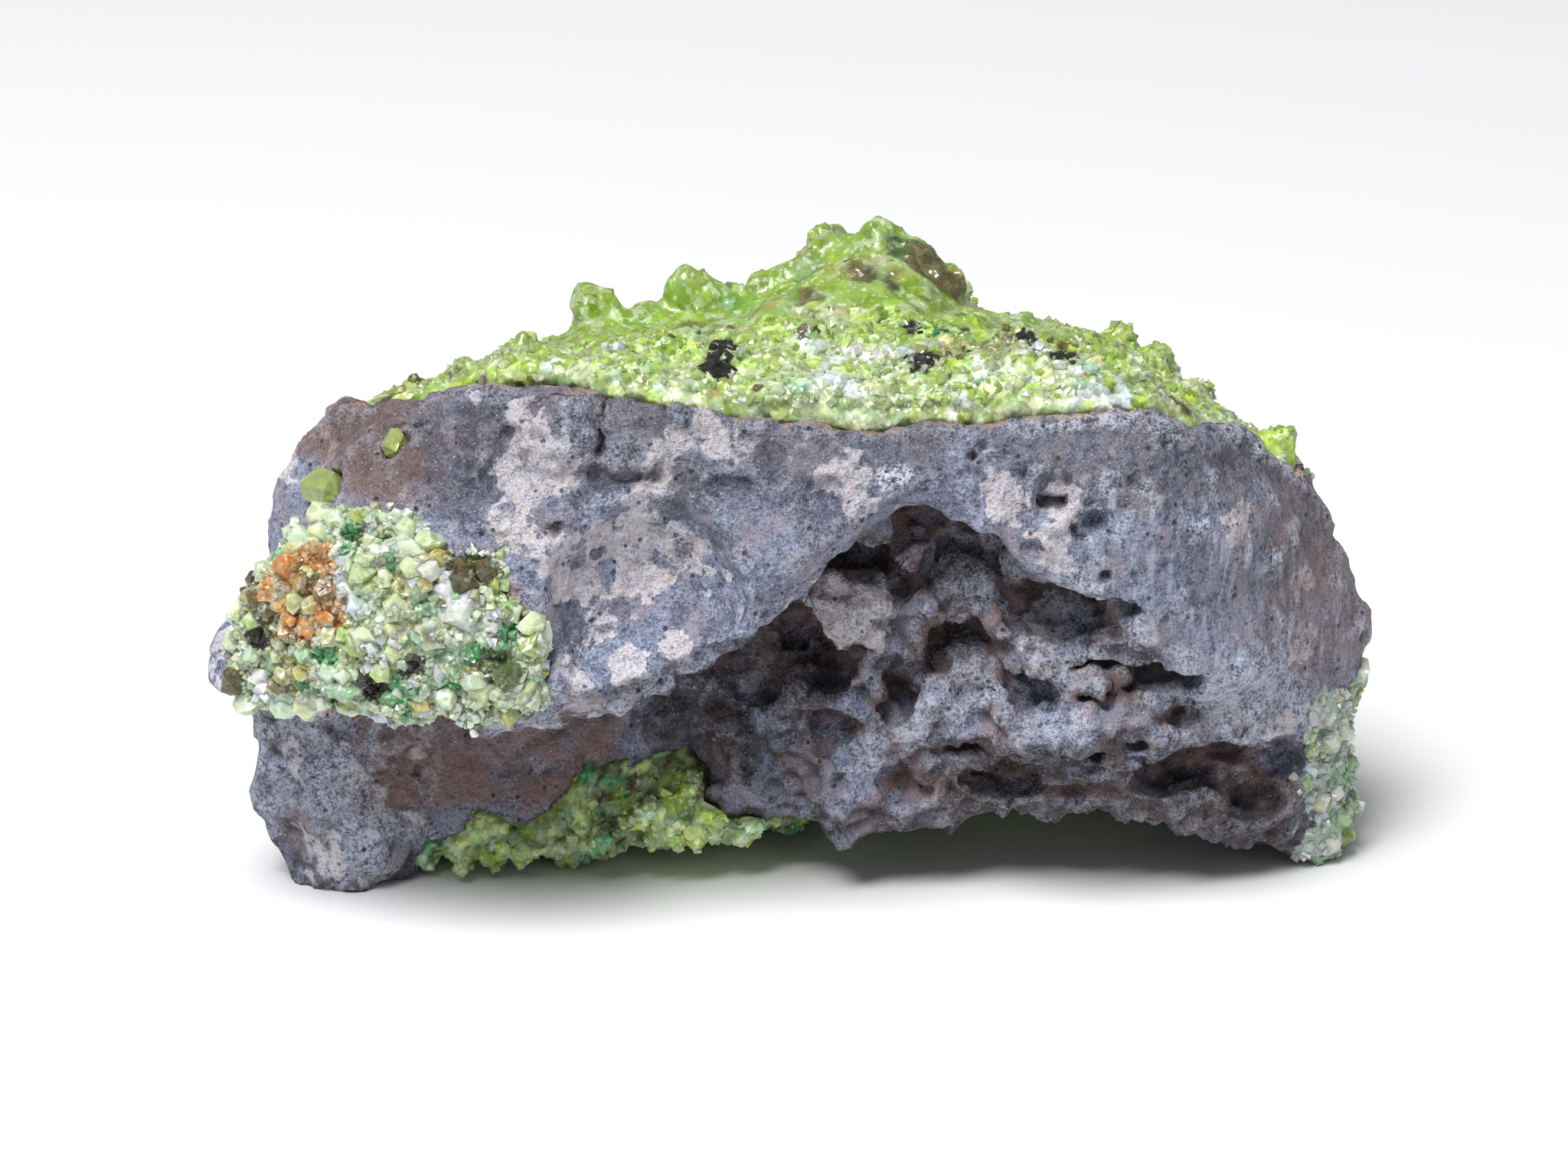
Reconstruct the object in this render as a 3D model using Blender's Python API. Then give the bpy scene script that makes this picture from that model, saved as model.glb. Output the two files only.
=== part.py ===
"""A hand specimen of peridot in basalt, 56 mm across, standing as it was broken from its flow.

A nodule of granular olivine makes the back and the jagged crest. A rind of vesicular basalt covers
its front, with an overhanging ledge, a deep recess below the ledge and bubble hollows throughout.
A second olivine patch, a lone crystal and a short streak of grains are set in the rind.

Sizes are in millimetres until the meshes are made. X runs along the specimen, the front faces -Y,
and Z is up from the surface that the specimen stands on.
"""

import math
import random

import bmesh
import bpy
import numpy as np
from mathutils import Matrix, Vector, noise

MM = 0.001
SEED = 19

# The clear gap between a piece and the rock that it sits in.
SEAM = 0.3

# Noise over each rock's surface, as layers of (wavelength, height).
RIND_WAVES = [(9.0, 0.45), (3.6, 0.5), (1.6, 0.3)]
NODULE_WAVES = [(7.0, 0.5), (3.0, 0.5), (1.5, 0.25)]
PATCH_WAVES = [(2.5, 0.35), (1.2, 0.2)]
BUBBLE_WAVES = [(2.2, 0.25)]

# The grain at which each rock is first made even, and the triangles then left in it.
RIND_GRAIN, RIND_TRIANGLES = 0.55, 3700
NODULE_GRAIN, NODULE_TRIANGLES = 0.6, 1150
PATCH_GRAIN, PATCH_TRIANGLES = 0.6, 360

# Scattered crystals of each olivine piece: how far apart, how wide, and how far they stand out.
NODULE_CRYSTALS = (4.5, (2.0, 3.6), (0.3, 0.9))
PATCH_CRYSTALS = (2.3, (1.3, 2.4), (0.2, 0.55))

# Outer rails of the basalt rind, left to right, as (x, y, z).
CROWN = [
    (-21.8, -1.0, 24.1), (-19.8, -3.0, 24.5), (-15.7, -4.5, 25.8), (-12.3, -6.0, 27.2),
    (-8.7, -7.0, 27.1), (-5.4, -7.5, 26.1), (4.4, -7.5, 25.3), (13.5, -7.5, 25.9),
    (17.2, -7.0, 25.7), (19.5, -5.0, 24.3), (22.9, -1.0, 22.0), (25.2, 2.0, 20.0),
]
BROW = [
    (-25.4, -1.0, 19.8), (-21.0, -6.6, 22.6), (-13.7, -9.0, 24.1), (-9.0, -9.5, 22.7),
    (-2.8, -10.0, 23.0), (2.6, -10.0, 23.9), (8.0, -10.0, 23.9), (13.5, -10.0, 22.5),
    (17.8, -9.5, 22.4), (22.2, -6.0, 20.0), (26.8, 1.0, 16.9),
]
BELLY = [
    (-26.0, -3.0, 16.4), (-22.4, -9.3, 17.5), (-16.9, -11.6, 17.5), (-11.9, -12.0, 17.5),
    (-7.5, -11.8, 17.3), (-2.8, -11.2, 18.7), (1.2, -10.7, 20.6), (5.9, -10.4, 22.9),
    (10.6, -10.4, 21.2), (16.4, -10.0, 19.4), (21.3, -7.5, 17.6), (25.4, -3.0, 15.6),
    (28.6, 2.0, 13.5),
]
LIP = [
    (-28.7, -8.2, 12.5), (-24.5, -9.5, 11.6), (-19.2, -12.0, 11.9), (-14.1, -12.5, 11.5),
    (-11.9, -12.3, 12.7), (-8.3, -12.3, 13.6), (-4.6, -12.0, 15.2), (-1.0, -11.5, 16.1),
    (1.2, -10.5, 18.5), (3.3, -10.2, 21.0), (5.9, -10.2, 22.2), (8.4, -10.2, 21.0),
    (10.6, -10.2, 19.1), (13.5, -9.9, 17.6), (16.5, -9.6, 15.6), (19.5, -8.8, 13.1),
    (23.4, -5.4, 12.2), (29.2, 1.8, 12.1),
]
CEILING = [
    (-25.3, -3.5, 10.4), (-19.0, -4.0, 11.0), (-14.0, -3.5, 11.0), (-8.0, -3.0, 12.6),
    (-1.0, -3.0, 15.0), (3.0, -6.4, 18.0), (6.0, -6.8, 20.2), (9.0, -7.0, 19.2),
    (13.0, -7.4, 16.2), (17.0, -7.4, 13.6), (20.0, -6.8, 11.4), (24.0, -3.8, 10.4),
    (28.4, 1.6, 9.8),
]
WALL = [
    (-26.3, -2.0, 3.8), (-21.9, -5.0, 7.0), (-17.6, -2.2, 6.2), (-12.4, -1.8, 5.6),
    (-6.7, -1.8, 6.4), (-1.1, -3.4, 7.6), (2.7, -5.4, 9.0), (8.2, -6.4, 10.0),
    (13.8, -7.4, 9.6), (19.3, -7.2, 8.9), (24.3, -4.4, 8.0), (27.8, 0.8, 6.6),
]
TOE = [
    (-24.6, -3.0, -0.4), (-22.5, -4.0, -0.5), (-19.9, -4.0, -0.3), (-17.6, -3.0, 1.3),
    (-10.1, -2.5, 2.3), (-5.6, -2.5, 3.3), (-0.6, -3.0, 3.4), (1.8, -4.2, 3.1), (3.1, -4.6, 2.4),
    (4.6, -4.4, 3.1), (8.0, -4.2, 2.9), (10.0, -3.9, 4.4), (17.0, -3.9, 4.3), (21.5, -3.2, 2.1),
    (25.5, -1.0, 0.5), (27.7, 0.0, -0.3),
]
SOLE = [(-23.0, 4.5, -0.4), (-12.0, 6.0, 2.6), (8.0, 6.0, 5.2), (26.5, 6.0, -0.2)]
REAR = [(-24.6, 6.0, 12.0), (-10.0, 8.0, 12.0), (10.0, 8.0, 12.0), (27.6, 6.5, 12.0)]
NAPE = [(-21.4, 3.5, 21.6), (-8.0, 2.0, 22.5), (10.0, 2.0, 21.5), (24.4, 5.0, 18.6)]

# Each rail of the rind, how far the skin rounds over it (0 is a sharp edge), and the faces up to the next.
RIND_RAILS = [
    (CROWN, 0.35, 4), (BROW, 1.0, 4), (BELLY, 1.0, 4), (LIP, 0.15, 4), (CEILING, 0.6, 5),
    (WALL, 1.0, 5), (TOE, 0.4, 3), (SOLE, 0.5, 2), (REAR, 1.0, 2), (NAPE, 0.8, 2),
]

# Rails of the olivine nodule, in the same order of travel: over the crest and round the back.
CONTACT = [(x, y - 0.2, z + 0.2) for x, y, z in CROWN]
BENCH = [
    (-20.6, -1.0, 24.6), (-17.6, -2.6, 25.4), (-12.0, -4.4, 27.9), (-4.7, -5.2, 27.9),
    (2.6, -5.2, 27.7), (9.9, -5.2, 27.9), (16.8, -4.2, 27.0), (21.8, -1.0, 23.0),
    (25.2, 2.4, 20.2),
]
CREST = [
    (-19.6, 1.0, 24.0), (-15.7, 1.0, 25.2), (-12.4, 2.0, 26.4), (-8.0, 4.0, 27.0),
    (-3.0, 5.0, 27.6), (0.0, 6.0, 29.0), (3.6, 6.0, 30.6), (6.6, 6.0, 29.4),
    (9.6, 6.0, 26.6), (15.8, 6.0, 25.2), (20.4, 4.0, 22.6), (25.2, 3.0, 19.7),
]
SHOULDER = [
    (-20.6, 4.5, 21.0), (-12.0, 8.5, 23.2), (-2.0, 10.5, 24.6), (5.0, 11.0, 25.6),
    (12.0, 10.5, 22.8), (20.4, 8.5, 19.8), (25.6, 6.0, 17.6),
]
BACK = [
    (-22.8, 6.5, 12.0), (-14.0, 11.6, 14.0), (-4.0, 13.4, 13.0), (6.0, 13.8, 14.5),
    (16.0, 12.4, 12.5), (26.4, 7.5, 11.0),
]
HEEL = [
    (-21.0, 5.5, 1.8), (-13.0, 9.6, -0.5), (-3.0, 11.4, -0.6), (8.0, 11.6, -0.6),
    (18.0, 10.4, 0.4), (26.6, 7.0, 0.6),
]
FOOT = [
    (-19.6, -1.6, 1.2), (-17.2, -3.6, 1.2), (-12.4, -3.7, 1.4), (-7.0, -3.9, 2.0),
    (-2.4, -3.3, 2.6), (0.6, -1.4, 2.9), (4.0, 2.5, 3.8), (16.0, 2.6, 4.8),
    (22.0, 1.6, 3.0), (26.0, -0.4, 0.4), (28.0, 1.4, 0.0),
]
INSTEP = [
    (-20.4, 1.0, 4.2), (-16.0, -1.4, 3.8), (-12.0, -1.6, 3.4), (-7.0, -2.4, 4.6),
    (-3.6, -1.6, 4.6), (0.0, 2.6, 5.4), (12.0, 3.2, 7.0), (22.0, 2.8, 6.4),
    (26.4, 0.4, 5.6), (28.1, 2.2, 6.4),
]
BOSOM = [
    (-21.6, 2.4, 16.0), (-12.0, 2.4, 14.0), (-4.0, 2.6, 14.0), (10.0, 1.5, 16.0),
    (22.0, 3.0, 14.0), (26.6, 4.4, 12.2),
]

NODULE_RAILS = [
    (CONTACT, 0.3, 2), (BENCH, 0.8, 4), (CREST, 0.8, 3), (SHOULDER, 1.0, 3), (BACK, 1.0, 3),
    (HEEL, 0.5, 3), (FOOT, 0.5, 2), (INSTEP, 0.8, 2), (BOSOM, 0.8, 2),
]

# Bubble hollows of the rind: centre x, y, z, then the radii along x, y and z.
BUBBLES = [
    # The wide bowl in the ledge and the shallow ones beside it.
    (-7.4, -15.2, 18.6, 5.6, 6.2, 5.6), (-12.6, -12.4, 24.4, 3.0, 4.2, 2.8),
    (-14.6, -13.0, 20.2, 2.6, 3.0, 2.4), (1.6, -13.0, 22.9, 2.6, 3.4, 1.9),
    # The bowls under the arch of the ledge.
    (3.2, -8.6, 17.2, 2.4, 3.0, 2.4), (8.2, -8.2, 17.4, 2.5, 3.4, 2.4),
    (8.6, -7.6, 12.9, 2.4, 3.0, 2.5), (6.3, -8.6, 20.2, 1.7, 3.4, 1.6),
    (8.9, -8.8, 19.6, 1.6, 3.2, 1.5), (13.0, -9.0, 15.4, 3.2, 3.2, 2.3),
    (5.4, -6.6, 11.8, 1.5, 2.6, 1.5), (0.8, -6.0, 13.2, 2.6, 3.2, 2.6),
    (5.3, -6.8, 17.3, 0.6, 2.6, 0.7), (-2.6, -4.4, 11.8, 3.0, 2.8, 2.8),
    (11.4, -7.6, 11.4, 2.0, 2.2, 1.4), (2.0, -5.4, 8.6, 1.7, 2.2, 1.5),
    # The slots and small cells lower down.
    (16.8, -9.0, 12.6, 2.6, 2.6, 0.8), (18.8, -8.2, 10.2, 1.5, 2.0, 0.8),
    (16.8, -8.0, 8.8, 1.0, 1.6, 0.6), (24.2, -4.8, 6.2, 2.6, 2.6, 1.9),
    (20.2, -6.4, 7.4, 2.6, 2.4, 1.2), (13.8, -7.8, 7.4, 1.4, 2.0, 0.8),
    (10.6, -6.8, 7.0, 2.2, 2.2, 0.9), (5.6, -5.8, 5.6, 1.2, 1.8, 1.2),
    # Holes in the upper face on the right.
    (14.2, -11.0, 21.4, 0.8, 2.0, 0.6), (12.6, -12.2, 22.4, 1.9, 3.0, 1.6),
    (11.4, -10.8, 20.0, 0.7, 1.6, 0.5),
    # The concave wall under the ledge on the left, and the dark arch over the olivine strip.
    (-15.0, -6.2, 7.6, 6.2, 4.6, 4.6), (-5.0, -4.0, 6.4, 3.0, 2.6, 2.6),
]

# The olivine patch on the ledge: its outline seen from the front, as (x, z), and the way it faces.
PATCH_OUTLINE = [
    (-27.0, 14.6), (-26.0, 17.6), (-24.0, 20.0), (-20.6, 20.9), (-17.0, 20.7), (-14.0, 19.4),
    (-12.6, 17.4), (-11.0, 15.2), (-11.4, 12.9), (-13.4, 11.6), (-17.6, 11.8), (-22.6, 12.0),
    (-26.0, 12.8),
]
PATCH_CENTRE = (-18.8, 16.0)

# Crest crystals that stand clear of the nodule: tip x, y, z, width, height, lean along x.
CREST_CRYSTALS = [
    (-17.6, -0.6, 25.6, 1.8, 2.4, 0.3), (-15.2, 0.4, 26.0, 2.2, 2.4, 0.1),
    (-12.4, 2.2, 26.9, 2.2, 2.8, 0.2), (-9.4, 3.2, 29.4, 3.0, 4.6, -0.1),
    (-6.9, 3.8, 28.1, 2.2, 2.8, 0.2), (-4.8, 4.2, 29.8, 2.6, 4.2, -0.3),
    (-3.2, 4.6, 29.0, 2.6, 3.6, 0.3), (-0.9, 5.2, 29.5, 1.9, 2.6, 0.0),
    (1.7, 6.0, 31.5, 1.9, 3.8, 0.0), (4.3, 6.0, 31.9, 3.9, 4.6, -0.2),
    (6.6, 6.2, 30.7, 3.4, 4.2, 0.4), (8.5, 6.2, 29.2, 2.4, 3.4, 0.3),
    (11.4, 6.0, 27.1, 2.6, 3.2, 0.1), (13.8, 6.2, 26.1, 2.6, 2.8, 0.2),
    (16.2, 5.8, 26.0, 3.2, 3.0, 0.2), (18.6, 5.0, 25.2, 2.6, 2.8, 0.3),
    (20.6, 3.8, 23.8, 2.6, 2.8, 0.4), (22.8, 2.6, 22.1, 2.6, 2.6, 0.5),
]

# Crystals of the cluster at the foot, under the dark arch: tip x, y, z, width, lean along x.
FOOT_CRYSTALS = [
    (-8.2, -4.2, 3.6, 2.0, -0.4), (-6.4, -4.7, 4.8, 2.6, 0.1), (-4.6, -4.2, 5.6, 2.2, 0.2),
    (-3.4, -4.4, 4.0, 2.4, 0.4), (-1.6, -4.0, 3.4, 1.8, 0.3), (-5.4, -4.8, 3.4, 2.0, -0.2),
]

# Crystals that sit in the rind by themselves: name, tip, width, and the way each one points.
LONE_CRYSTALS = [
    ("lone_crystal", (-22.7, -7.0, 22.2), 2.3, (-0.5, -0.8, 0.5)),
    ("olivine_sliver", (-19.0, -7.1, 24.6), 1.5, (-0.4, -0.6, 0.7)),
]


def clear_scene():
    """Removes whatever the scene holds."""
    for obj in list(bpy.data.objects):
        bpy.data.objects.remove(obj)


def material(name, colour, roughness, transmission=0.0):
    """A Principled finish with no metal in it."""
    made = bpy.data.materials.new(name)
    made.use_nodes = True
    shader = made.node_tree.nodes["Principled BSDF"]
    shader.inputs["Base Color"].default_value = (*colour, 1.0)
    shader.inputs["Roughness"].default_value = roughness
    shader.inputs["Metallic"].default_value = 0.0
    shader.inputs["Transmission Weight"].default_value = transmission
    return made


def along_rail(points, share):
    """The point at this share of the way along a rail in x, on a smooth curve through its points."""
    points = np.asarray(points, float)
    x = points[0, 0] + share * (points[-1, 0] - points[0, 0])
    k = int(np.clip(np.searchsorted(points[:, 0], x) - 1, 0, len(points) - 2))
    before, start, end, after = (
        points[max(k - 1, 0)], points[k], points[k + 1], points[min(k + 2, len(points) - 1)],
    )
    step = end[0] - start[0]
    t = (x - start[0]) / step
    rise_start = (end - before) / max(end[0] - before[0], 1e-6) * step
    rise_end = (after - start) / max(after[0] - start[0], 1e-6) * step
    point = (
        (2 * t**3 - 3 * t**2 + 1) * start + (t**3 - 2 * t**2 + t) * rise_start
        + (3 * t**2 - 2 * t**3) * end + (t**3 - t**2) * rise_end
    )
    point[0] = x
    return point


def section(rails, share):
    """The closed outline of a skin at one station, through all its rails in turn."""
    corners = np.array([along_rail(points, share) for points, _, _ in rails])
    outline = []
    for k, (_, _, faces) in enumerate(rails):
        here, there = corners[k], corners[(k + 1) % len(rails)]
        past, beyond = corners[k - 1], corners[(k + 2) % len(rails)]
        leave = 0.5 * rails[k][1] * (there - past)
        arrive = 0.5 * rails[(k + 1) % len(rails)][1] * (beyond - here)
        for t in np.arange(faces) / faces:
            outline.append(
                (2 * t**3 - 3 * t**2 + 1) * here + (t**3 - 2 * t**2 + t) * leave
                + (3 * t**2 - 2 * t**3) * there + (t**3 - t**2) * arrive
            )
    return outline


def skin(rails, stations=80, end_bulge=0.6):
    """A closed bmesh stretched over the rails, with its two ends drawn to a point."""
    mesh = bmesh.new()
    rings = [
        [mesh.verts.new(point) for point in section(rails, k / (stations - 1))]
        for k in range(stations)
    ]
    for ring, after in zip(rings, rings[1:]):
        for k in range(len(ring)):
            n = (k + 1) % len(ring)
            mesh.faces.new((ring[k], ring[n], after[n], after[k]))
    for end, side in ((rings[0], -1), (rings[-1], 1)):
        middle = sum((v.co for v in end), Vector()) / len(end)
        peak = middle + Vector((side * end_bulge, 0.0, 0.0))
        ring = end
        for share in (0.4, 0.75):
            inner = [mesh.verts.new(v.co.lerp(peak, share)) for v in end]
            for k in range(len(ring)):
                n = (k + 1) % len(ring)
                mesh.faces.new((ring[k], ring[n], inner[n], inner[k]))
            ring = inner
        point = mesh.verts.new(peak)
        for k in range(len(ring)):
            mesh.faces.new((ring[k], ring[(k + 1) % len(ring)], point))
    bmesh.ops.recalc_face_normals(mesh, faces=mesh.faces)
    return mesh


def roughen(mesh, layers, offset=0.0):
    """Moves each point along its normal by layers of noise, each (wavelength, height), plus an offset."""
    mesh.normal_update()
    moves = []
    for vert in mesh.verts:
        height = offset
        for k, (wavelength, amount) in enumerate(layers):
            height += amount * noise.noise(vert.co / wavelength + Vector((31.0 * k, 7.0, 3.0)))
        moves.append(vert.normal * height)
    for vert, move in zip(mesh.verts, moves):
        vert.co += move


def grown(mesh, by):
    """A copy of the mesh with its surface moved out by this much."""
    copy = mesh.copy()
    roughen(copy, [], by)
    return copy


def helper_object(name, mesh):
    """Links a bmesh as a helper that takes no part in the finished scene, and frees it."""
    data = bpy.data.meshes.new(name)
    mesh.to_mesh(data)
    mesh.free()
    obj = bpy.data.objects.new(name, data)
    obj.hide_render = True
    obj.display_type = "WIRE"
    bpy.context.scene.collection.objects.link(obj)
    return obj


def worked(mesh, kind, **settings):
    """What one modifier makes of a bmesh, as a new bmesh."""
    obj = helper_object("blank", mesh)
    modifier = obj.modifiers.new(kind, kind)
    for name, value in settings.items():
        setattr(modifier, name, value)
    graph = bpy.context.evaluated_depsgraph_get()
    made = bpy.data.meshes.new_from_object(obj.evaluated_get(graph))
    result = bmesh.new()
    result.from_mesh(made)
    bpy.data.objects.remove(obj)
    bpy.data.meshes.remove(made)
    return result


def combined(mesh, others, operation):
    """Cuts the other bmeshes from a bmesh, or joins them to it, and keeps its largest part."""
    tools = bpy.data.collections.new("tools")
    bpy.context.scene.collection.children.link(tools)
    for k, other in enumerate(others):
        tool = helper_object(f"tool_{k}", other)
        bpy.context.scene.collection.objects.unlink(tool)
        tools.objects.link(tool)
    result = worked(
        mesh, "BOOLEAN", operation=operation, solver="EXACT", operand_type="COLLECTION", collection=tools
    )
    for tool in list(tools.objects):
        bpy.data.objects.remove(tool)
    bpy.data.collections.remove(tools)
    return largest(result)


def largest(mesh):
    """Takes the chips that a cut set loose out of a bmesh."""
    left, pieces = set(mesh.verts), []
    while left:
        piece, front = set(), [left.pop()]
        while front:
            vert = front.pop()
            piece.add(vert)
            near = {edge.other_vert(vert) for edge in vert.link_edges} & left
            left -= near
            front.extend(near)
        pieces.append(piece)
    kept = max(pieces, key=len)
    bmesh.ops.delete(mesh, geom=[v for v in mesh.verts if v not in kept], context="VERTS")
    return mesh


def evened(mesh, grain):
    """The bmesh as one closed surface with points about this far apart."""
    return worked(mesh, "REMESH", mode="VOXEL", voxel_size=grain)


def rock(rails, grain, waves):
    """A closed skin over the rails, roughened by layers of noise."""
    mesh = evened(skin(rails), grain)
    roughen(mesh, waves)
    return evened(mesh, 0.9 * grain)


def reduced(mesh, triangles):
    """The bmesh with about this many triangles left."""
    mesh = worked(mesh, "TRIANGULATE")
    return worked(mesh, "DECIMATE", ratio=triangles / len(mesh.faces))


def piece(name, mesh, finish):
    """Turns a bmesh in millimetres into one of the specimen's pieces, in metres."""
    bmesh.ops.scale(mesh, vec=(MM, MM, MM), verts=mesh.verts)
    data = bpy.data.meshes.new(name)
    mesh.to_mesh(data)
    mesh.free()
    data.materials.append(finish)
    obj = bpy.data.objects.new(name, data)
    bpy.context.scene.collection.objects.link(obj)


def crystal(tip, width, height, axis, turn, chance, grow=0.0):
    """A stubby olivine crystal: a six-sided prism under a chisel roof."""
    axis = Vector(axis).normalized()
    frame = axis.to_track_quat("Z", "Y").to_matrix() @ Matrix.Rotation(turn, 3, "Z")
    wide = width / 2 + grow
    deep = wide * chance.uniform(0.7, 0.95)
    points = []
    for level, share in ((-height - grow, 0.8), (-0.38 * height, 1.0)):
        for k in range(6):
            angle = math.tau * k / 6 + chance.uniform(-0.2, 0.2)
            points.append(Vector((wide * share * math.cos(angle), deep * share * math.sin(angle), level)))
    roof = 0.34 * width
    points += [Vector((-roof, 0.0, grow)), Vector((roof, 0.1 * width, -0.12 * height + grow))]
    mesh = bmesh.new()
    verts = [mesh.verts.new(Vector(tip) + frame @ point) for point in points]
    hull = bmesh.ops.convex_hull(mesh, input=verts)
    inside = [v for v in hull["geom_interior"] if isinstance(v, bmesh.types.BMVert)]
    bmesh.ops.delete(mesh, geom=inside, context="VERTS")
    return mesh


def crystal_pair(tip, width, height, axis, chance):
    """One crystal and the slightly larger cutter that makes room for it in the rind."""
    turn, state = chance.uniform(0, math.tau), chance.getstate()
    solid = crystal(tip, width, height, axis, turn, chance)
    chance.setstate(state)
    return solid, crystal(tip, width, height, axis, turn, chance, grow=SEAM)


def bubble(x, y, z, radius_x, radius_y, radius_z):
    """A slightly uneven bubble shape, to be cut from the rind."""
    mesh = bmesh.new()
    fineness = 3 if max(radius_x, radius_z) > 1.0 else 2
    bmesh.ops.create_icosphere(mesh, subdivisions=fineness, radius=1.0)
    bmesh.ops.scale(mesh, vec=(radius_x, radius_y, radius_z), verts=mesh.verts)
    bmesh.ops.translate(mesh, vec=(x, y, z), verts=mesh.verts)
    roughen(mesh, BUBBLE_WAVES)
    return mesh


def ground_block():
    """What lies below the surface that the specimen stands on."""
    mesh = bmesh.new()
    bmesh.ops.create_cube(mesh, size=1.0)
    bmesh.ops.scale(mesh, vec=(90.0, 60.0, 10.0), verts=mesh.verts)
    bmesh.ops.translate(mesh, vec=(0.0, 0.0, -5.0), verts=mesh.verts)
    return mesh


def patch_lens():
    """The olivine patch's body: its outline on the ledge, domed in front and sunk behind."""
    mesh = bmesh.new()
    centre = np.array(PATCH_CENTRE)
    outline = np.array(PATCH_OUTLINE)
    rings = []
    for share, sunk in ((0.04, 3.4), (0.45, 3.0), (0.8, 1.9), (1.0, 0.0), (0.86, -0.9), (0.5, -1.4), (0.04, -1.6)):
        ring = []
        for x, z in centre + (outline - centre) * share:
            face = float(np.interp(x, [-27.5, -24.5, -20.0, -12.0], [-6.4, -9.2, -11.4, -12.0]))
            ring.append(mesh.verts.new((x, face + sunk, z)))
        rings.append(ring)
    for ring, after in zip(rings, rings[1:]):
        for k in range(len(ring)):
            n = (k + 1) % len(ring)
            mesh.faces.new((ring[k], ring[n], after[n], after[k]))
    mesh.faces.new(rings[0])
    mesh.faces.new(rings[-1])
    bmesh.ops.recalc_face_normals(mesh, faces=mesh.faces)
    return mesh


def scattered(mesh, shows, spacing, chance):
    """Picks points of a mesh that pass a test, no closer than the spacing, as (place, normal)."""
    mesh.normal_update()
    points = [vert for vert in mesh.verts if shows(vert)]
    chance.shuffle(points)
    kept = []
    for vert in points:
        if all((vert.co - place).length > spacing for place, _ in kept):
            kept.append((vert.co.copy(), vert.normal.copy()))
    return kept


def crystal_growth(mesh, shows, style, chance):
    """Crystal pairs scattered over what shows of a mesh, leaning out of it."""
    spacing, widths, proud = style
    pairs = []
    for place, normal in scattered(mesh, shows, spacing, chance):
        axis = normal + Vector([chance.uniform(-0.4, 0.4) for _ in range(3)])
        width = chance.uniform(*widths)
        tip = place + axis.normalized() * chance.uniform(*proud)
        pairs.append(crystal_pair(tip, width, 0.9 * width, axis, chance))
    return pairs


def centre_on_origin():
    """Moves the pieces so that the middle of the specimen's base is at the origin."""
    meshes = [obj.data for obj in bpy.data.objects]
    points = [vert.co for mesh in meshes for vert in mesh.vertices]
    middle = [(min(p[k] for p in points) + max(p[k] for p in points)) / 2 for k in (0, 1)]
    lowest = min(p[2] for p in points)
    for mesh in meshes:
        mesh.transform(Matrix.Translation((-middle[0], -middle[1], -lowest)))


def nodule_shows(vert):
    """Whether a point of the nodule's core is out of the rind, and clear of its edge."""
    x, y, z = vert.co
    over = z - along_rail(CROWN, float(np.clip((x + 21.8) / 46.1, 0.0, 1.0)))[2]
    top = over > 1.0 and y > -5.0
    back = y > 7.5 and z > 2.0 and x < 25.0
    strip = x < -8.5 and 0.8 < z < 3.2 and y < -2.0
    corner = x > 27.0 and 1.5 < z < 8.0
    return top or back or strip or corner


def patch_shows(vert):
    """Whether a point of the patch's body is on its outer face."""
    return vert.normal.y < -0.3


def build_nodule(chance, finish):
    """Makes the olivine nodule, and returns the cutters that make room for it in the rind."""
    core = reduced(rock(NODULE_RAILS, NODULE_GRAIN, NODULE_WAVES), NODULE_TRIANGLES)
    pairs = []
    for x, y, z, width, height, lean in CREST_CRYSTALS:
        axis = (lean, chance.uniform(-0.25, 0.1), 1.0)
        pairs.append(crystal_pair((x, y, z), width, height, axis, chance))
    for x, y, z, width, lean in FOOT_CRYSTALS:
        pairs.append(crystal_pair((x, y, z), width, 1.2 * width, (lean, -1.0, 0.5), chance))
    pairs += crystal_growth(core, nodule_shows, NODULE_CRYSTALS, chance)
    rooms = [grown(core, SEAM)] + [room for _, room in pairs]
    nodule = combined(core, [solid for solid, _ in pairs], "UNION")
    piece("peridot_nodule", combined(nodule, [ground_block()], "DIFFERENCE"), finish)
    return rooms


def build_patch(chance, finish):
    """Makes the olivine patch on the ledge, and returns the cutters that make room for it."""
    lens = evened(patch_lens(), PATCH_GRAIN)
    roughen(lens, PATCH_WAVES)
    lens = reduced(lens, PATCH_TRIANGLES)
    pairs = crystal_growth(lens, patch_shows, PATCH_CRYSTALS, chance)
    rooms = [grown(lens, SEAM)] + [room for _, room in pairs]
    piece("peridot_patch", combined(lens, [solid for solid, _ in pairs], "UNION"), finish)
    return rooms


def build_lone_crystals(chance, finish):
    """Makes the crystals that sit in the rind by themselves, and returns their cutters."""
    rooms = []
    for name, tip, width, axis in LONE_CRYSTALS:
        solid, room = crystal_pair(tip, width, 0.9 * width, axis, chance)
        piece(name, solid, finish)
        rooms.append(room)
    return rooms


def build_rind(rooms, finish):
    """Makes the basalt rind, less its bubbles and the room of each piece set in it."""
    mesh = rock(RIND_RAILS, RIND_GRAIN, RIND_WAVES)
    mesh = combined(mesh, [bubble(*shape) for shape in BUBBLES], "DIFFERENCE")
    mesh = reduced(mesh, RIND_TRIANGLES)
    mesh = combined(mesh, rooms, "DIFFERENCE")
    piece("basalt_rind", combined(mesh, [ground_block()], "DIFFERENCE"), finish)


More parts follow.
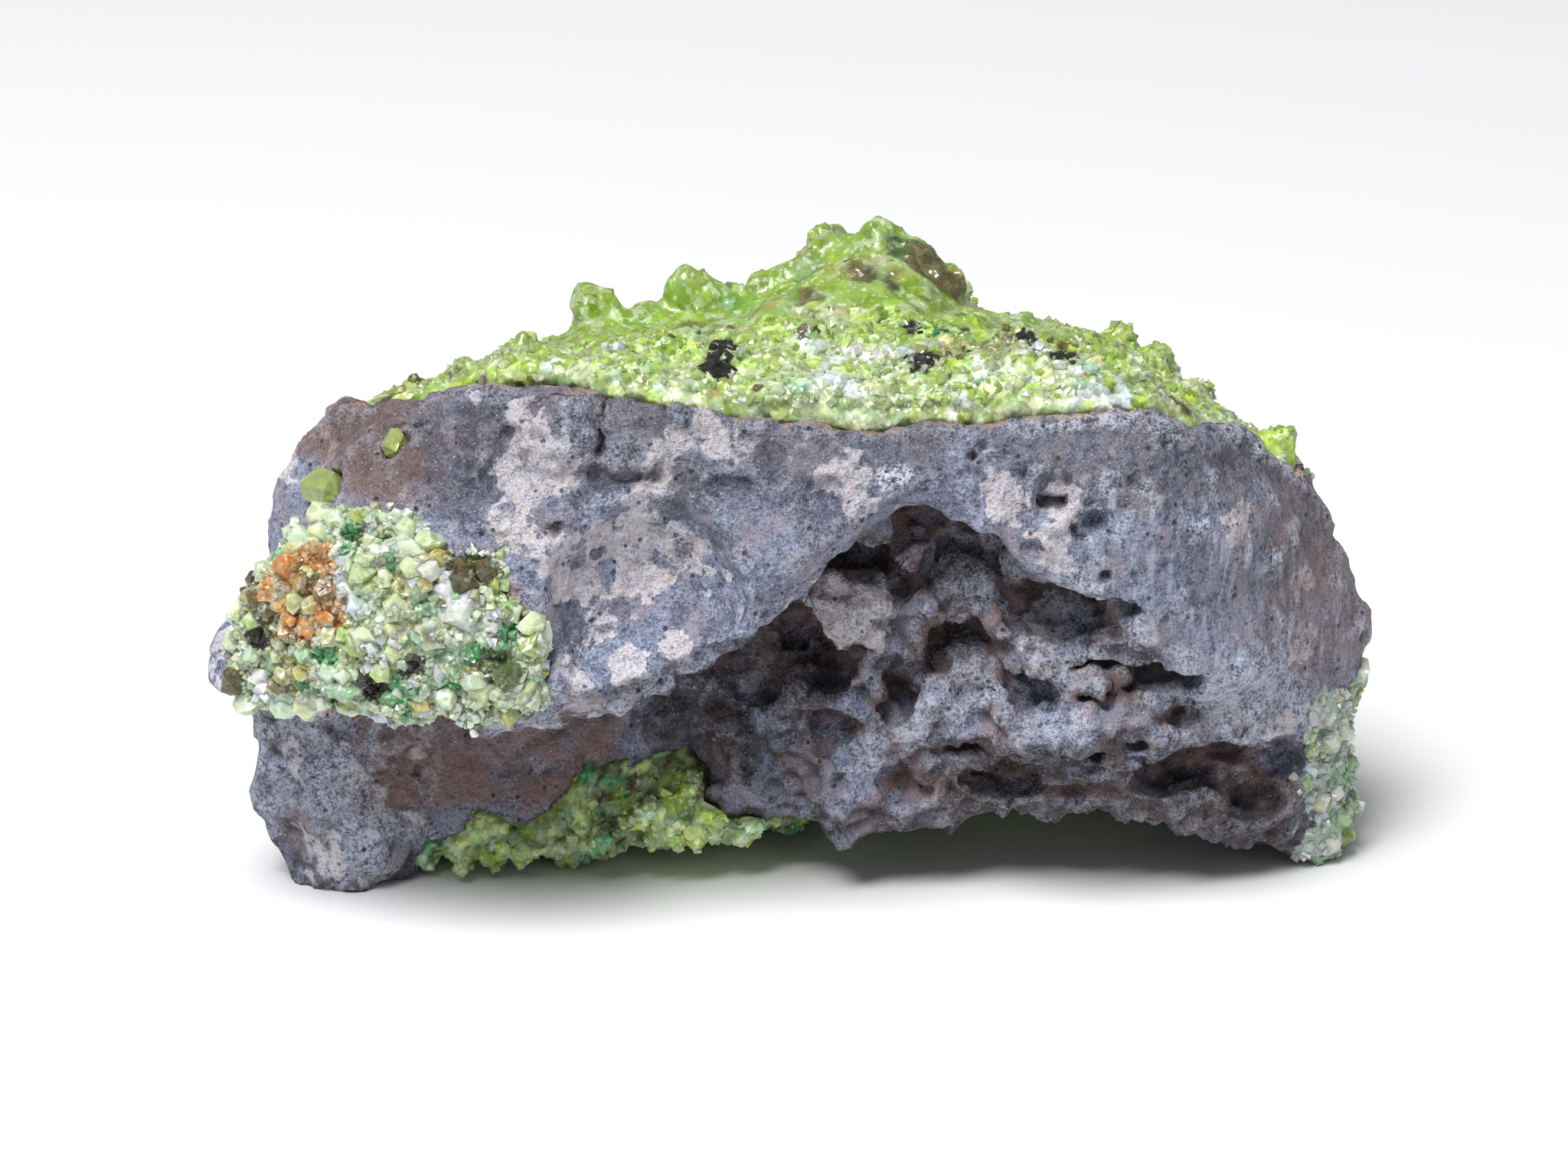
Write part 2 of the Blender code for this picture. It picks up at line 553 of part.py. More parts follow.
def main():
    """Builds the specimen."""
    clear_scene()
    chance = random.Random(SEED)
    olivine = material("olivine", (0.42, 0.56, 0.16), 0.3, 0.2)
    pale_olivine = material("pale_olivine", (0.46, 0.56, 0.3), 0.3, 0.2)
    basalt = material("basalt", (0.23, 0.21, 0.26), 0.85)
    rooms = build_nodule(chance, olivine)
    rooms += build_patch(chance, pale_olivine)
    rooms += build_lone_crystals(chance, olivine)
    build_rind(rooms, basalt)
    centre_on_origin()


if __name__ == "__main__":
    main()
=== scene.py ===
"""The looks of a hand specimen of peridot in basalt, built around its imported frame.

A rind of vesicular basalt carries a nodule of granular olivine behind it and a patch of the same on
its ledge. Each rock's surface starts as a merged copy of its CAD node, made even, and is then worked
as whole arrays: hollows, facets and noise in millimetres. Thousands of small loose grains, each a
small faceted crystal, are set on the two olivine pieces.

Working sizes are in millimetres, in the row frame: X along the specimen, -Y to the front, Z up.
"""

import logging
import math
from dataclasses import dataclass, field
from enum import Enum

import bmesh
import bpy
import numpy as np
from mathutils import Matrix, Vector


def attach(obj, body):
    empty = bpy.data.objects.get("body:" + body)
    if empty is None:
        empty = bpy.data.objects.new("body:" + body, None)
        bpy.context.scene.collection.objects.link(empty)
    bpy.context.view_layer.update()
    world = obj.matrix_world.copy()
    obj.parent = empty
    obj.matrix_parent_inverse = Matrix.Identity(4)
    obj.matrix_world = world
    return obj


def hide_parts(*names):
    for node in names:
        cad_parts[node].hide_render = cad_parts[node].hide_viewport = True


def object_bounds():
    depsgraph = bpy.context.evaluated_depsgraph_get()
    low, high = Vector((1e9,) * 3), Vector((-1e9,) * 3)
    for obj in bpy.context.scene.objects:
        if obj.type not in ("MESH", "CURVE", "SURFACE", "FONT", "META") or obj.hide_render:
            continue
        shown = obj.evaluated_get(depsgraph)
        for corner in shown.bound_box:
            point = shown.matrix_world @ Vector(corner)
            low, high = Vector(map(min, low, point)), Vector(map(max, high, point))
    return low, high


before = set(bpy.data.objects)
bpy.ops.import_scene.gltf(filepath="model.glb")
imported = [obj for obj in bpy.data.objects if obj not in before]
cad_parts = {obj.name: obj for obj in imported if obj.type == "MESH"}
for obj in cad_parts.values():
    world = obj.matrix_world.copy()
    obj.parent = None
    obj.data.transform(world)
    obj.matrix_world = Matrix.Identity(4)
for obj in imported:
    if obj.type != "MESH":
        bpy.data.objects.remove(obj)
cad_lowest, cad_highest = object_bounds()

MM = 0.001
SEED = 19
BODY = "root"

log = logging.getLogger("specimen")


class Mineral(Enum):
    """The kinds of grain, each with its linear colour and how much one grain differs from the next."""

    LIME = ((0.46, 0.66, 0.10), 0.20)
    PERIDOT = ((0.48, 0.63, 0.22), 0.20)
    SUGAR = ((0.76, 0.94, 0.58), 0.12)
    PALE = ((0.66, 0.78, 0.42), 0.15)
    FROST = ((0.86, 0.92, 0.84), 0.08)
    HONEY = ((0.52, 0.47, 0.16), 0.22)
    OLIVE_BROWN = ((0.15, 0.13, 0.045), 0.40)
    EMERALD = ((0.08, 0.38, 0.12), 0.40)
    MINT = ((0.40, 0.64, 0.38), 0.20)
    SPINEL = ((0.022, 0.018, 0.014), 0.50)
    RUST = ((0.55, 0.25, 0.08), 0.30)
    MOSS = ((0.14, 0.20, 0.06), 0.35)

    @property
    def colour(self) -> np.ndarray:
        """The mineral's linear colour."""
        return np.array(self.value[0])

    @property
    def spread(self) -> float:
        """How far one grain's brightness may be from another's, as a share."""
        return self.value[1]


Blend = tuple[tuple[Mineral, float], ...]


def lattice_number(cells: np.ndarray, salt: int) -> np.ndarray:
    """Gives each cell of a cubic lattice one even random number from 0 to 1.

    The cell's three whole numbers are multiplied by large odd numbers, joined by exclusive or with
    the salt, and mixed by shifts and products modulo 2 to the power 32.

    Args:
        cells: Whole numbers, with three along the last axis.
        salt: Chooses an independent set of numbers.

    Returns:
        One number a cell.
    """
    x, y, z = (cells[..., k].astype(np.int64).astype(np.uint32) for k in range(3))
    mixed = x * np.uint32(0x8DA6B343) ^ y * np.uint32(0xD8163841) ^ z * np.uint32(0xCB1AB31F)
    mixed = mixed ^ np.uint32((salt * 0x9E3779B1 + 0x7F4A7C15) & 0xFFFFFFFF)
    mixed = (mixed ^ (mixed >> np.uint32(15))) * np.uint32(0x2C1B3C6D)
    mixed = (mixed ^ (mixed >> np.uint32(12))) * np.uint32(0x297A2D39)
    return (mixed ^ (mixed >> np.uint32(15))) / 4294967296.0


def smooth_step(low: float, high: float, values: np.ndarray) -> np.ndarray:
    """Rises from 0 at low to 1 at high, as 3t^2 - 2t^3 of the share t of the way."""
    t = np.clip((values - low) / (high - low), 0.0, 1.0)
    return t * t * (3.0 - 2.0 * t)


def turned(points: np.ndarray, turn: float) -> np.ndarray:
    """Turns points about X and then Z by one angle, so that lattices of two layers don't line up."""
    c, s = math.cos(turn), math.sin(turn)
    about_x = np.array([[1, 0, 0], [0, c, -s], [0, s, c]])
    about_z = np.array([[c, -s, 0], [s, c, 0], [0, 0, 1]])
    return points @ (about_z @ about_x).T


def lattice_noise(points: np.ndarray, wavelength: float, salt: int) -> np.ndarray:
    """Gives smooth noise from -1 to 1.

    Each point takes the mean of its cell's eight corner numbers, weighted by the product over the
    axes of smooth steps of its share of the way across.

    Args:
        points: N points in millimetres.
        wavelength: The lattice's spacing in millimetres.
        salt: Chooses an independent set of numbers.

    Returns:
        N numbers.
    """
    place = turned(points, 0.7 + salt) / wavelength
    low = np.floor(place)
    t = place - low
    t = t * t * (3.0 - 2.0 * t)
    total = np.zeros(len(points))
    for corner in np.ndindex(2, 2, 2):
        share = np.prod(np.where(np.array(corner, bool), t, 1.0 - t), axis=1)
        total += share * lattice_number(low + np.array(corner), salt)
    return 2.0 * total - 1.0


def layered_noise(points: np.ndarray, wavelength: float, layers: int, salt: int) -> np.ndarray:
    """Adds layers of noise, each of half the wavelength and 0.55 of the height of the one before.

    Args:
        points: N points in millimetres.
        wavelength: The first layer's wavelength in millimetres.
        layers: How many layers.
        salt: Chooses an independent set of numbers.

    Returns:
        N numbers, from about -1 to 1.
    """
    total = np.zeros(len(points))
    for k in range(layers):
        total += 0.55**k * lattice_noise(points, wavelength / 2**k, salt + 7 * k)
    return total


@dataclass
class Cells:
    """The jittered lattice cell that each of N points falls in."""

    cell: np.ndarray
    seed: np.ndarray
    nearest: np.ndarray
    second: np.ndarray

    def number(self, salt: int) -> np.ndarray:
        """One random number from 0 to 1 for each point, the same for all points of a cell."""
        return lattice_number(self.cell, salt)

    def direction(self, salt: int) -> np.ndarray:
        """One random vector a cell, with each part from -1 to 1."""
        return np.stack([2.0 * self.number(salt + k) - 1.0 for k in range(3)], axis=1)


def cells_of(points: np.ndarray, size: float, salt: int) -> Cells:
    """Finds the nearest of a lattice's jittered seeds for each point, and the second distance.

    A cell's seed is its corner plus three random shares of its side. The nearest seed of a point is
    in its own cell or in one of the 26 around it.

    Args:
        points: N points in millimetres.
        size: The side of a cell in millimetres.
        salt: Chooses an independent set of seeds.

    Returns:
        The cells of the points.
    """
    place = turned(points, 0.4 + salt) / size
    home = np.floor(place)
    nearest = np.full(len(points), 9.0)
    second = nearest.copy()
    cell, seed = home.copy(), home.copy()
    for step in np.ndindex(3, 3, 3):
        other = home + np.array(step) - 1.0
        spot = other + np.stack([lattice_number(other, salt + k) for k in range(3)], axis=1)
        away = np.linalg.norm(place - spot, axis=1)
        closer = away < nearest
        second = np.where(closer, nearest, np.minimum(second, away))
        nearest = np.where(closer, away, nearest)
        cell[closer], seed[closer] = other[closer], spot[closer]
    back = np.linalg.inv(turned(np.eye(3), 0.4 + salt).T)
    return Cells(cell, seed * size @ back.T, nearest * size, second * size)


def crowded(points: np.ndarray, others: np.ndarray, reach: float) -> np.ndarray:
    """Tells which points have another set's points close by.

    Both sets are put in cubes with sides of the reach. A point counts where its own cube or one of
    the 26 around it holds one of the others.

    Args:
        points: N points.
        others: The other set's points.
        reach: The side of a cube, in the same unit.

    Returns:
        N truth values.
    """
    def keyed(cubes: np.ndarray) -> np.ndarray:
        """One whole number a cube."""
        return (cubes[:, 0] * 4001 + cubes[:, 1]) * 4001 + cubes[:, 2]

    held = np.unique(keyed(np.floor(others / reach).astype(np.int64) + 1000))
    home = np.floor(points / reach).astype(np.int64) + 1000
    found = np.zeros(len(points), bool)
    for step in np.ndindex(3, 3, 3):
        found |= np.isin(keyed(home + np.array(step) - 1), held)
    return found


Balls = tuple[tuple[float, ...], ...]


def rough_balls(balls: Balls, zero: np.ndarray, rough: float, salt: int) -> bpy.types.Mesh:
    """Makes one mesh of many closed, uneven balls.

    A ball's point at latitude a and longitude b is its centre plus its three radii times
    (cos a cos b, cos a sin b, sin a), all times 1 plus noise.

    Args:
        balls: Each ball's centre and three radii in millimetres.
        zero: The place of the centres' zero point.
        rough: How uneven a ball's wall is, as a share of its radius.
        salt: Chooses an independent unevenness.

    Returns:
        The mesh, of balls that may pass through each other.
    """
    rings, sides = 26, 44
    latitude = np.linspace(-math.pi / 2, math.pi / 2, rings + 2)[1:-1]
    longitude = math.tau * np.arange(sides) / sides
    a, b = (part.ravel() for part in np.meshgrid(latitude, longitude, indexing="ij"))
    ball = np.stack([np.cos(a) * np.cos(b), np.cos(a) * np.sin(b), np.sin(a)], axis=1)
    ball = np.concatenate([ball, [[0.0, 0.0, -1.0], [0.0, 0.0, 1.0]]])
    ring, side = (part.ravel() for part in np.meshgrid(np.arange(rings - 1), np.arange(sides), indexing="ij"))
    after = (side + 1) % sides
    quads = np.stack([ring, ring, ring + 1, ring + 1], axis=1) * sides + np.stack([side, after, after, side], axis=1)
    edge, last = np.arange(sides), (rings - 1) * sides
    beyond = (edge + 1) % sides
    foot = np.stack([np.full(sides, rings * sides), beyond, edge], axis=1)
    head = np.stack([np.full(sides, rings * sides + 1), last + edge, last + beyond], axis=1)
    shape = [*quads.tolist(), *foot.tolist(), *head.tolist()]
    points, faces = [], []
    for number, (x, y, z, *radii) in enumerate(balls):
        centre = np.array([x, y, z]) + zero
        wall = ball * np.array(radii)
        swell = layered_noise(wall + centre, 0.9 * min(radii) + 0.5, 3, salt)
        points.append(centre + wall * (1.0 + rough * swell)[:, None])
        faces += [[corner + number * len(ball) for corner in face] for face in shape]
    data = bpy.data.meshes.new("balls")
    data.from_pydata((np.concatenate(points) * MM).tolist(), [], faces)
    return data


def remeshed(obj: bpy.types.Object, grain: float) -> bpy.types.Mesh:
    """Runs an object's modifiers and a voxel remesh, which joins all that pass through each other.

    Args:
        obj: The object.
        grain: The remesh's grain in millimetres.

    Returns:
        The new mesh.
    """
    even = obj.modifiers.new("even", "REMESH")
    even.mode = "VOXEL"
    even.voxel_size = grain * MM
    graph = bpy.context.evaluated_depsgraph_get()
    return bpy.data.meshes.new_from_object(obj.evaluated_get(graph))


def bubble_solid(bubbles: Balls, zero: np.ndarray, rough: float) -> bpy.types.Object:
    """Makes one solid of many bubbles grown together, to be cut out of the rock.

    Args:
        bubbles: Each bubble's centre and three radii in millimetres.
        zero: The place of the centres' zero point.
        rough: How uneven a bubble's wall is, as a share of its radius.

    Returns:
        The solid's object.
    """
    obj = bpy.data.objects.new("bubbles", rough_balls(bubbles, zero, rough, 101))
    bpy.context.scene.collection.objects.link(obj)
    joined = remeshed(obj, 0.28)
    obj.modifiers.clear()
    obj.data = joined
    return obj


class RockSkin:
    """A rock's finished surface, from a merged copy of its CAD node made even by a voxel remesh."""

    def __init__(self, name: str, node: str, grain: float, cutter: bpy.types.Object | None = None,
                 lumps: bpy.types.Mesh | None = None) -> None:
        """Makes the even copy.

        Args:
            name: The new piece's name.
            node: The CAD node that it stands for.
            grain: The distance between its points in millimetres.
            cutter: A solid to take away first. It is deleted afterwards.
            lumps: Closed shapes to add first.
        """
        self.node = node
        merged = bmesh.new()
        merged.from_mesh(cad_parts[node].data)
        bmesh.ops.remove_doubles(merged, verts=merged.verts, dist=1e-6)
        data = bpy.data.meshes.new(name)
        merged.to_mesh(data)
        merged.free()
        self.obj = bpy.data.objects.new(name, data)
        bpy.context.scene.collection.objects.link(self.obj)
        if cutter is not None:
            cut = self.obj.modifiers.new("cut", "BOOLEAN")
            cut.operation = "DIFFERENCE"
            cut.solver = "EXACT"
            cut.object = cutter
            graph = bpy.context.evaluated_depsgraph_get()
            self.obj.data = bpy.data.meshes.new_from_object(self.obj.evaluated_get(graph))
            self.obj.modifiers.clear()
        if lumps is not None:
            merged = bmesh.new()
            merged.from_mesh(self.obj.data)
            merged.from_mesh(lumps)
            merged.to_mesh(self.obj.data)
            merged.free()
        made = remeshed(self.obj, grain)
        self.obj.modifiers.clear()
        self.obj.data = made
        bpy.data.meshes.remove(data)
        if cutter is not None:
            bpy.data.objects.remove(cutter)
        made.name = name
        made.materials.clear()
        self.points = self._array(made.vertices, "co", 3).astype(float) / MM
        self.edges = self._array(made.edges, "vertices", 2, np.int32)
        self.normals = np.zeros_like(self.points)
        self.refresh()

    @staticmethod
    def _array(items: bpy.types.bpy_prop_collection, name: str, width: int, kind=np.float32) -> np.ndarray:
        """One property of each item of a mesh, as an array of this many columns."""
        values = np.zeros(len(items) * width, kind)
        items.foreach_get(name, values)
        return values.reshape(-1, width)

    def refresh(self) -> None:
        """Writes the points to the mesh and reads the normals that they give."""
        data = self.obj.data
        data.vertices.foreach_set("co", (self.points * MM).astype(np.float32).ravel())
        data.update()
        self.normals = self._array(data.vertex_normals, "vector", 3).astype(float)

    def averaged(self, values: np.ndarray, rounds: int) -> np.ndarray:
        """Replaces each point's value by the mean of its neighbours' values, several times.

        Args:
            values: N rows, one a point.
            rounds: How many times.

        Returns:
            The evened values.
        """
        a, b = self.edges.T
        total = len(self.points)
        count = np.bincount(a, minlength=total) + np.bincount(b, minlength=total)
        flat = values.reshape(total, -1).astype(float)
        for _ in range(rounds):
            flat = np.stack([
                (np.bincount(a, column[b], total) + np.bincount(b, column[a], total)) / count
                for column in flat.T
            ], axis=1)
        return flat.reshape(values.shape)

    def soften(self, rounds: int, share: float = 0.5) -> None:
        """Moves the points towards their neighbours' mean and back, which takes facets off a shape.

        Args:
            rounds: How many times both moves are made.
            share: The share of the way to the mean. The move back is a little longer.
        """
        for _ in range(rounds):
            for step in (share, -share - 0.03):
                self.points += step * (self.averaged(self.points, 1) - self.points)
        self.refresh()

    def shift(self, height: np.ndarray) -> None:
        """Moves each point along its normal by its own height."""
        self.points += self.normals * height[:, None]
        self.refresh()

    def relief(self, rounds: int) -> np.ndarray:
        """How far each point stands out of the surface around it, in millimetres.

        Args:
            rounds: How many times the surface is averaged; the reach grows as its square root.

        Returns:
            The distance along the normal from the averaged surface to the point.
        """
        away = self.points - self.averaged(self.points, rounds)
        return np.einsum("nk,nk->n", away, self.normals)

    def thinned(self, depth: float) -> np.ndarray:
        """How thin the rock is behind each point, from 0 to 1.

        For each axis and sign, places just under the points that face along it are held against the
        points that face back, which lie there only where the rock is thin.

        Args:
            depth: How far under the surface the places are, in millimetres.

        Returns:
            N shares.
        """
        thin = np.zeros(len(self.points), bool)
        under = self.points - depth * self.normals
        for facing in (*self.normals.T, *-self.normals.T):
            mine, others = facing > 0.5, facing < -0.3
            thin[mine] |= crowded(under[mine], self.points[others], 0.8 * depth)
        return smooth_step(0.0, 0.6, self.averaged(thin.astype(float), 4))

    def keep_in_box(self) -> None:
        """Keeps the points inside the whole CAD model's box, and above what it stands on."""
        low, high = np.array(cad_lowest) / MM, np.array(cad_highest) / MM
        self.points = np.clip(self.points, low, high)
        self.refresh()

    def paint(self, name: str, values: np.ndarray) -> None:
        """Stores one number or one colour a point as a named attribute."""
        if values.ndim == 1:
            layer = self.obj.data.attributes.new(name, "FLOAT", "POINT")
            layer.data.foreach_set("value", values.astype(np.float32))
        else:
            layer = self.obj.data.attributes.new(name, "FLOAT_COLOR", "POINT")
            rgba = np.concatenate([values, np.ones((len(values), 1))], axis=1)
            layer.data.foreach_set("color", rgba.astype(np.float32).ravel())

    def finish(self, material: bpy.types.Material, slot: str) -> None:
        """Dresses the piece, and lets it stand for its CAD node."""
        self.obj.data.materials.append(material)
        self.obj.data.polygons.foreach_set("use_smooth", np.ones(len(self.obj.data.polygons), bool))
        self.obj.data.update()
        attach(self.obj, BODY)
        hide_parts(self.node)
        self.obj.data.calc_loop_triangles()
        log.info("%s: %d triangles", self.obj.name, len(self.obj.data.loop_triangles))


class Bench:
    """One material's node tree, and short ways to add nodes to it."""

    def __init__(self, name: str) -> None:
        """Makes the material with its Principled shader and its object coordinates."""
        self.material = bpy.data.materials.new(name)
        self.material.use_nodes = True
        self.tree = self.material.node_tree
        self.shader = self.tree.nodes["Principled BSDF"]
        self.output = self.tree.nodes["Material Output"]
        self.place = self.node("ShaderNodeTexCoord").outputs["Object"]

    def node(self, kind: str, inputs: dict | None = None, **settings: object) -> bpy.types.Node:
        """Adds a node.

        Args:
            kind: Blender's name of the node type.
            inputs: Values or sockets for its inputs, by name or number.
            settings: The node's own properties.

        Returns:
            The node.
        """
        made = self.tree.nodes.new(kind)
        for name, value in settings.items():
            setattr(made, name, value)
        for key, value in (inputs or {}).items():
            self.feed(made.inputs[key], value)
        return made

    def feed(self, socket: bpy.types.NodeSocket, value: object) -> None:
        """Joins a socket to another one, or sets its value."""
        if isinstance(value, bpy.types.NodeSocket):
            self.tree.links.new(value, socket)
        else:
            socket.default_value = value

    def noise(self, wavelength: float, detail: float = 2.0, roughness: float = 0.55,
              place: bpy.types.NodeSocket | None = None) -> bpy.types.NodeSocket:
        """Noise with features about this many millimetres apart."""
        made = self.node(
            "ShaderNodeTexNoise",
            {"Vector": place or self.place, "Scale": 1.0 / (wavelength * MM), "Detail": detail, "Roughness": roughness},
        )
        return made.outputs["Fac"]

    def stretched(self, by: tuple[float, float, float]) -> bpy.types.NodeSocket:
        """The object coordinates, made this many times as long on each axis for a pattern to follow."""
        return self.node("ShaderNodeMapping", {"Vector": self.place, "Scale": by}).outputs["Vector"]

    def cells(self, size: float) -> bpy.types.Node:
        """Voronoi cells about this many millimetres across."""
        return self.node("ShaderNodeTexVoronoi", {"Vector": self.place, "Scale": 1.0 / (size * MM)})

    def frayed(self, name: str, noise: bpy.types.NodeSocket) -> bpy.types.NodeSocket:
        """A share stored on the mesh, with its soft edge broken up by a noise."""
        moved = self.maths("ADD", self.number(name), self.maths("MULTIPLY", self.maths("SUBTRACT", noise, 0.5), 1.6))
        return self.span(moved, 0.38, 0.58)

    def number(self, name: str) -> bpy.types.NodeSocket:
        """A number stored on the mesh."""
        return self.node("ShaderNodeAttribute", attribute_name=name).outputs["Fac"]

    def tint(self, name: str) -> bpy.types.NodeSocket:
        """A colour stored on the mesh."""
        return self.node("ShaderNodeAttribute", attribute_name=name).outputs["Color"]

    def span(self, value: bpy.types.NodeSocket, low: float, high: float, to: tuple = (0.0, 1.0)) -> bpy.types.NodeSocket:
        """A value stretched from low and high to the range given, and held there."""
        made = self.node(
            "ShaderNodeMapRange",
            {"Value": value, "From Min": low, "From Max": high, "To Min": to[0], "To Max": to[1]},
        )
        return made.outputs["Result"]

    def maths(self, operation: str, a: object, b: object = 0.0) -> bpy.types.NodeSocket:
        """One sum of two numbers."""
        return self.node("ShaderNodeMath", {0: a, 1: b}, operation=operation).outputs[0]

    def mix(self, share: object, a: object, b: object, kind: str = "MIX") -> bpy.types.NodeSocket:
        """Mixes two colours."""
        made = self.node("ShaderNodeMix", data_type="RGBA", blend_type=kind)
        for socket, value in ((made.inputs[0], share), (made.inputs[6], a), (made.inputs[7], b)):
            self.feed(socket, (*value, 1.0) if isinstance(value, tuple) else value)
        return made.outputs[2]

    def bump(self, height: bpy.types.NodeSocket, depth: float, strength: float, under: object = None) -> bpy.types.NodeSocket:
        """A bump this many millimetres deep, over another one if that is given."""
        inputs = {"Height": height, "Distance": depth * MM, "Strength": strength}
        if under is not None:
            inputs["Normal"] = under
        return self.node("ShaderNodeBump", inputs).outputs["Normal"]


@dataclass(frozen=True)
class BasaltFinish:
    """Fine-grained basalt: speckled bluish grey, a tan coat, dark blotches, dust and rust, with painted shade,
    highlights and glints.
    """

    dark: tuple[float, float, float] = (0.070, 0.080, 0.118)
    light: tuple[float, float, float] = (0.360, 0.420, 0.585)
    blush: tuple[float, float, float] = (0.290, 0.240, 0.275)
    # The tan coat's colour, light enough to also stand for light on coated faces in shade: painted light.
    coat_and_light: tuple[float, float, float] = (0.770, 0.715, 0.745)
    tan: tuple[float, float, float] = (0.66, 0.53, 0.47)
    # Warm brown that the rock has in its recesses, also used there as painted shade.
    brown_and_shade: tuple[float, float, float] = (0.255, 0.152, 0.122)
    blotch: tuple[float, float, float] = (0.075, 0.090, 0.135)
    # The colour of painted shade, in recesses, under overhangs, in pits, pores and creases.
    painted_shade: tuple[float, float, float] = (0.036, 0.024, 0.024)
    # The colour of dust, of painted highlights on edges, of painted light at the lit spots, and of the streaks.
    dust_and_light: tuple[float, float, float] = (0.62, 0.67, 0.78)
    rust: tuple[float, float, float] = (0.42, 0.20, 0.07)
    moss: tuple[float, float, float] = (0.42, 0.56, 0.43)

    def material(self) -> bpy.types.Material:
        """Builds the material.

        Returns:
            The finished material.
        """
        bench = Bench("basalt")
        fine = bench.noise(0.16, 3.0, 0.7)
        grainy = bench.noise(0.55, 3.0, 0.6)
        broad = bench.noise(2.2, 4.0, 0.6)
        warm = bench.noise(0.30, 2.0, 0.6)
        streak = bench.noise(0.45, 3.0, 0.6, bench.stretched((1.0, 1.0, 0.10)))
        speck = bench.maths("ADD", bench.maths("MULTIPLY", fine, 0.62), bench.maths("MULTIPLY", grainy, 0.38))
        speck = bench.span(speck, 0.38, 0.62)
        colour = bench.mix(speck, self.dark, self.light)
        blushed = bench.maths("MULTIPLY", bench.span(broad, 0.40, 0.62), bench.span(grainy, 0.35, 0.60, (0.3, 0.85)))
        colour = bench.mix(blushed, colour, self.blush)
        # The coat, with painted light on shaded shells and less of it in the cave as painted shade.
        coated_and_lit = bench.maths("MULTIPLY", bench.frayed("coat_and_light", grainy), bench.span(speck, 0.0, 0.9, (0.26, 0.78)))
        colour = bench.mix(coated_and_lit, colour, self.coat_and_light)
        colour = bench.mix(bench.maths("MULTIPLY", coated_and_lit, bench.span(warm, 0.52, 0.66)), colour, self.tan)
        blotted = bench.maths("MULTIPLY", bench.frayed("blotch", grainy), bench.span(speck, 1.0, 0.20, (0.25, 0.85)))
        colour = bench.mix(blotted, colour, self.blotch)
        # Brown and painted shade, as stored on the mesh.
        colour = bench.mix(bench.maths("MULTIPLY", bench.number("brown_and_shade"), 0.88), colour, self.brown_and_shade)
        # Painted shade, as stored on the mesh.
        shade_share = bench.maths("MULTIPLY", bench.number("painted_shade"), bench.span(grainy, 0.35, 0.60, (1.0, 0.75)))
        colour = bench.mix(shade_share, colour, self.painted_shade)
        # Dust and painted highlights, as stored on the mesh.
        dusted_and_lit = bench.maths("MULTIPLY", bench.number("dust_and_light"), bench.span(speck, 0.22, 0.80))
        colour = bench.mix(dusted_and_lit, colour, self.dust_and_light)
        drawn = bench.maths("MULTIPLY", bench.number("streak"), bench.span(streak, 0.50, 0.68, (0.0, 0.55)))
        colour = bench.mix(drawn, colour, self.dust_and_light)
        colour = bench.mix(bench.maths("MULTIPLY", bench.number("rust"), bench.span(grainy, 0.4, 0.6)), colour, self.rust)
        colour = bench.mix(bench.frayed("moss", grainy), colour, self.moss)
        glint = bench.span(bench.noise(0.11, 1.0), 0.68, 0.75, (0.0, 0.6))
        colour = bench.mix(glint, colour, (0.70, 0.73, 0.80))
        pore = bench.cells(0.62)
        pit_and_shade = bench.span(pore.outputs["Distance"], 0.10, 0.22, (1.0, 0.0))
        chosen = bench.span(bench.node("ShaderNodeSeparateColor", {"Color": pore.outputs["Color"]}).outputs[0], 0.70, 0.74)
        pit_and_shade = bench.maths("MULTIPLY", pit_and_shade, chosen)
        # Painted shade in the pores, which are dents of the bump.
        colour = bench.mix(bench.maths("MULTIPLY", pit_and_shade, 0.85), colour, self.painted_shade)
        bench.feed(bench.shader.inputs["Base Color"], colour)
        bench.feed(bench.shader.inputs["Roughness"], bench.span(fine, 0.3, 0.7, (0.95, 0.62)))
        bench.shader.inputs["IOR"].default_value = 1.5
        grainy = bench.maths("SUBTRACT", grainy, bench.maths("MULTIPLY", pit_and_shade, 0.35))
        coarse = bench.bump(grainy, 0.50, 0.9)
        bench.feed(bench.shader.inputs["Normal"], bench.bump(fine, 0.13, 1.0, coarse))
        return bench.material


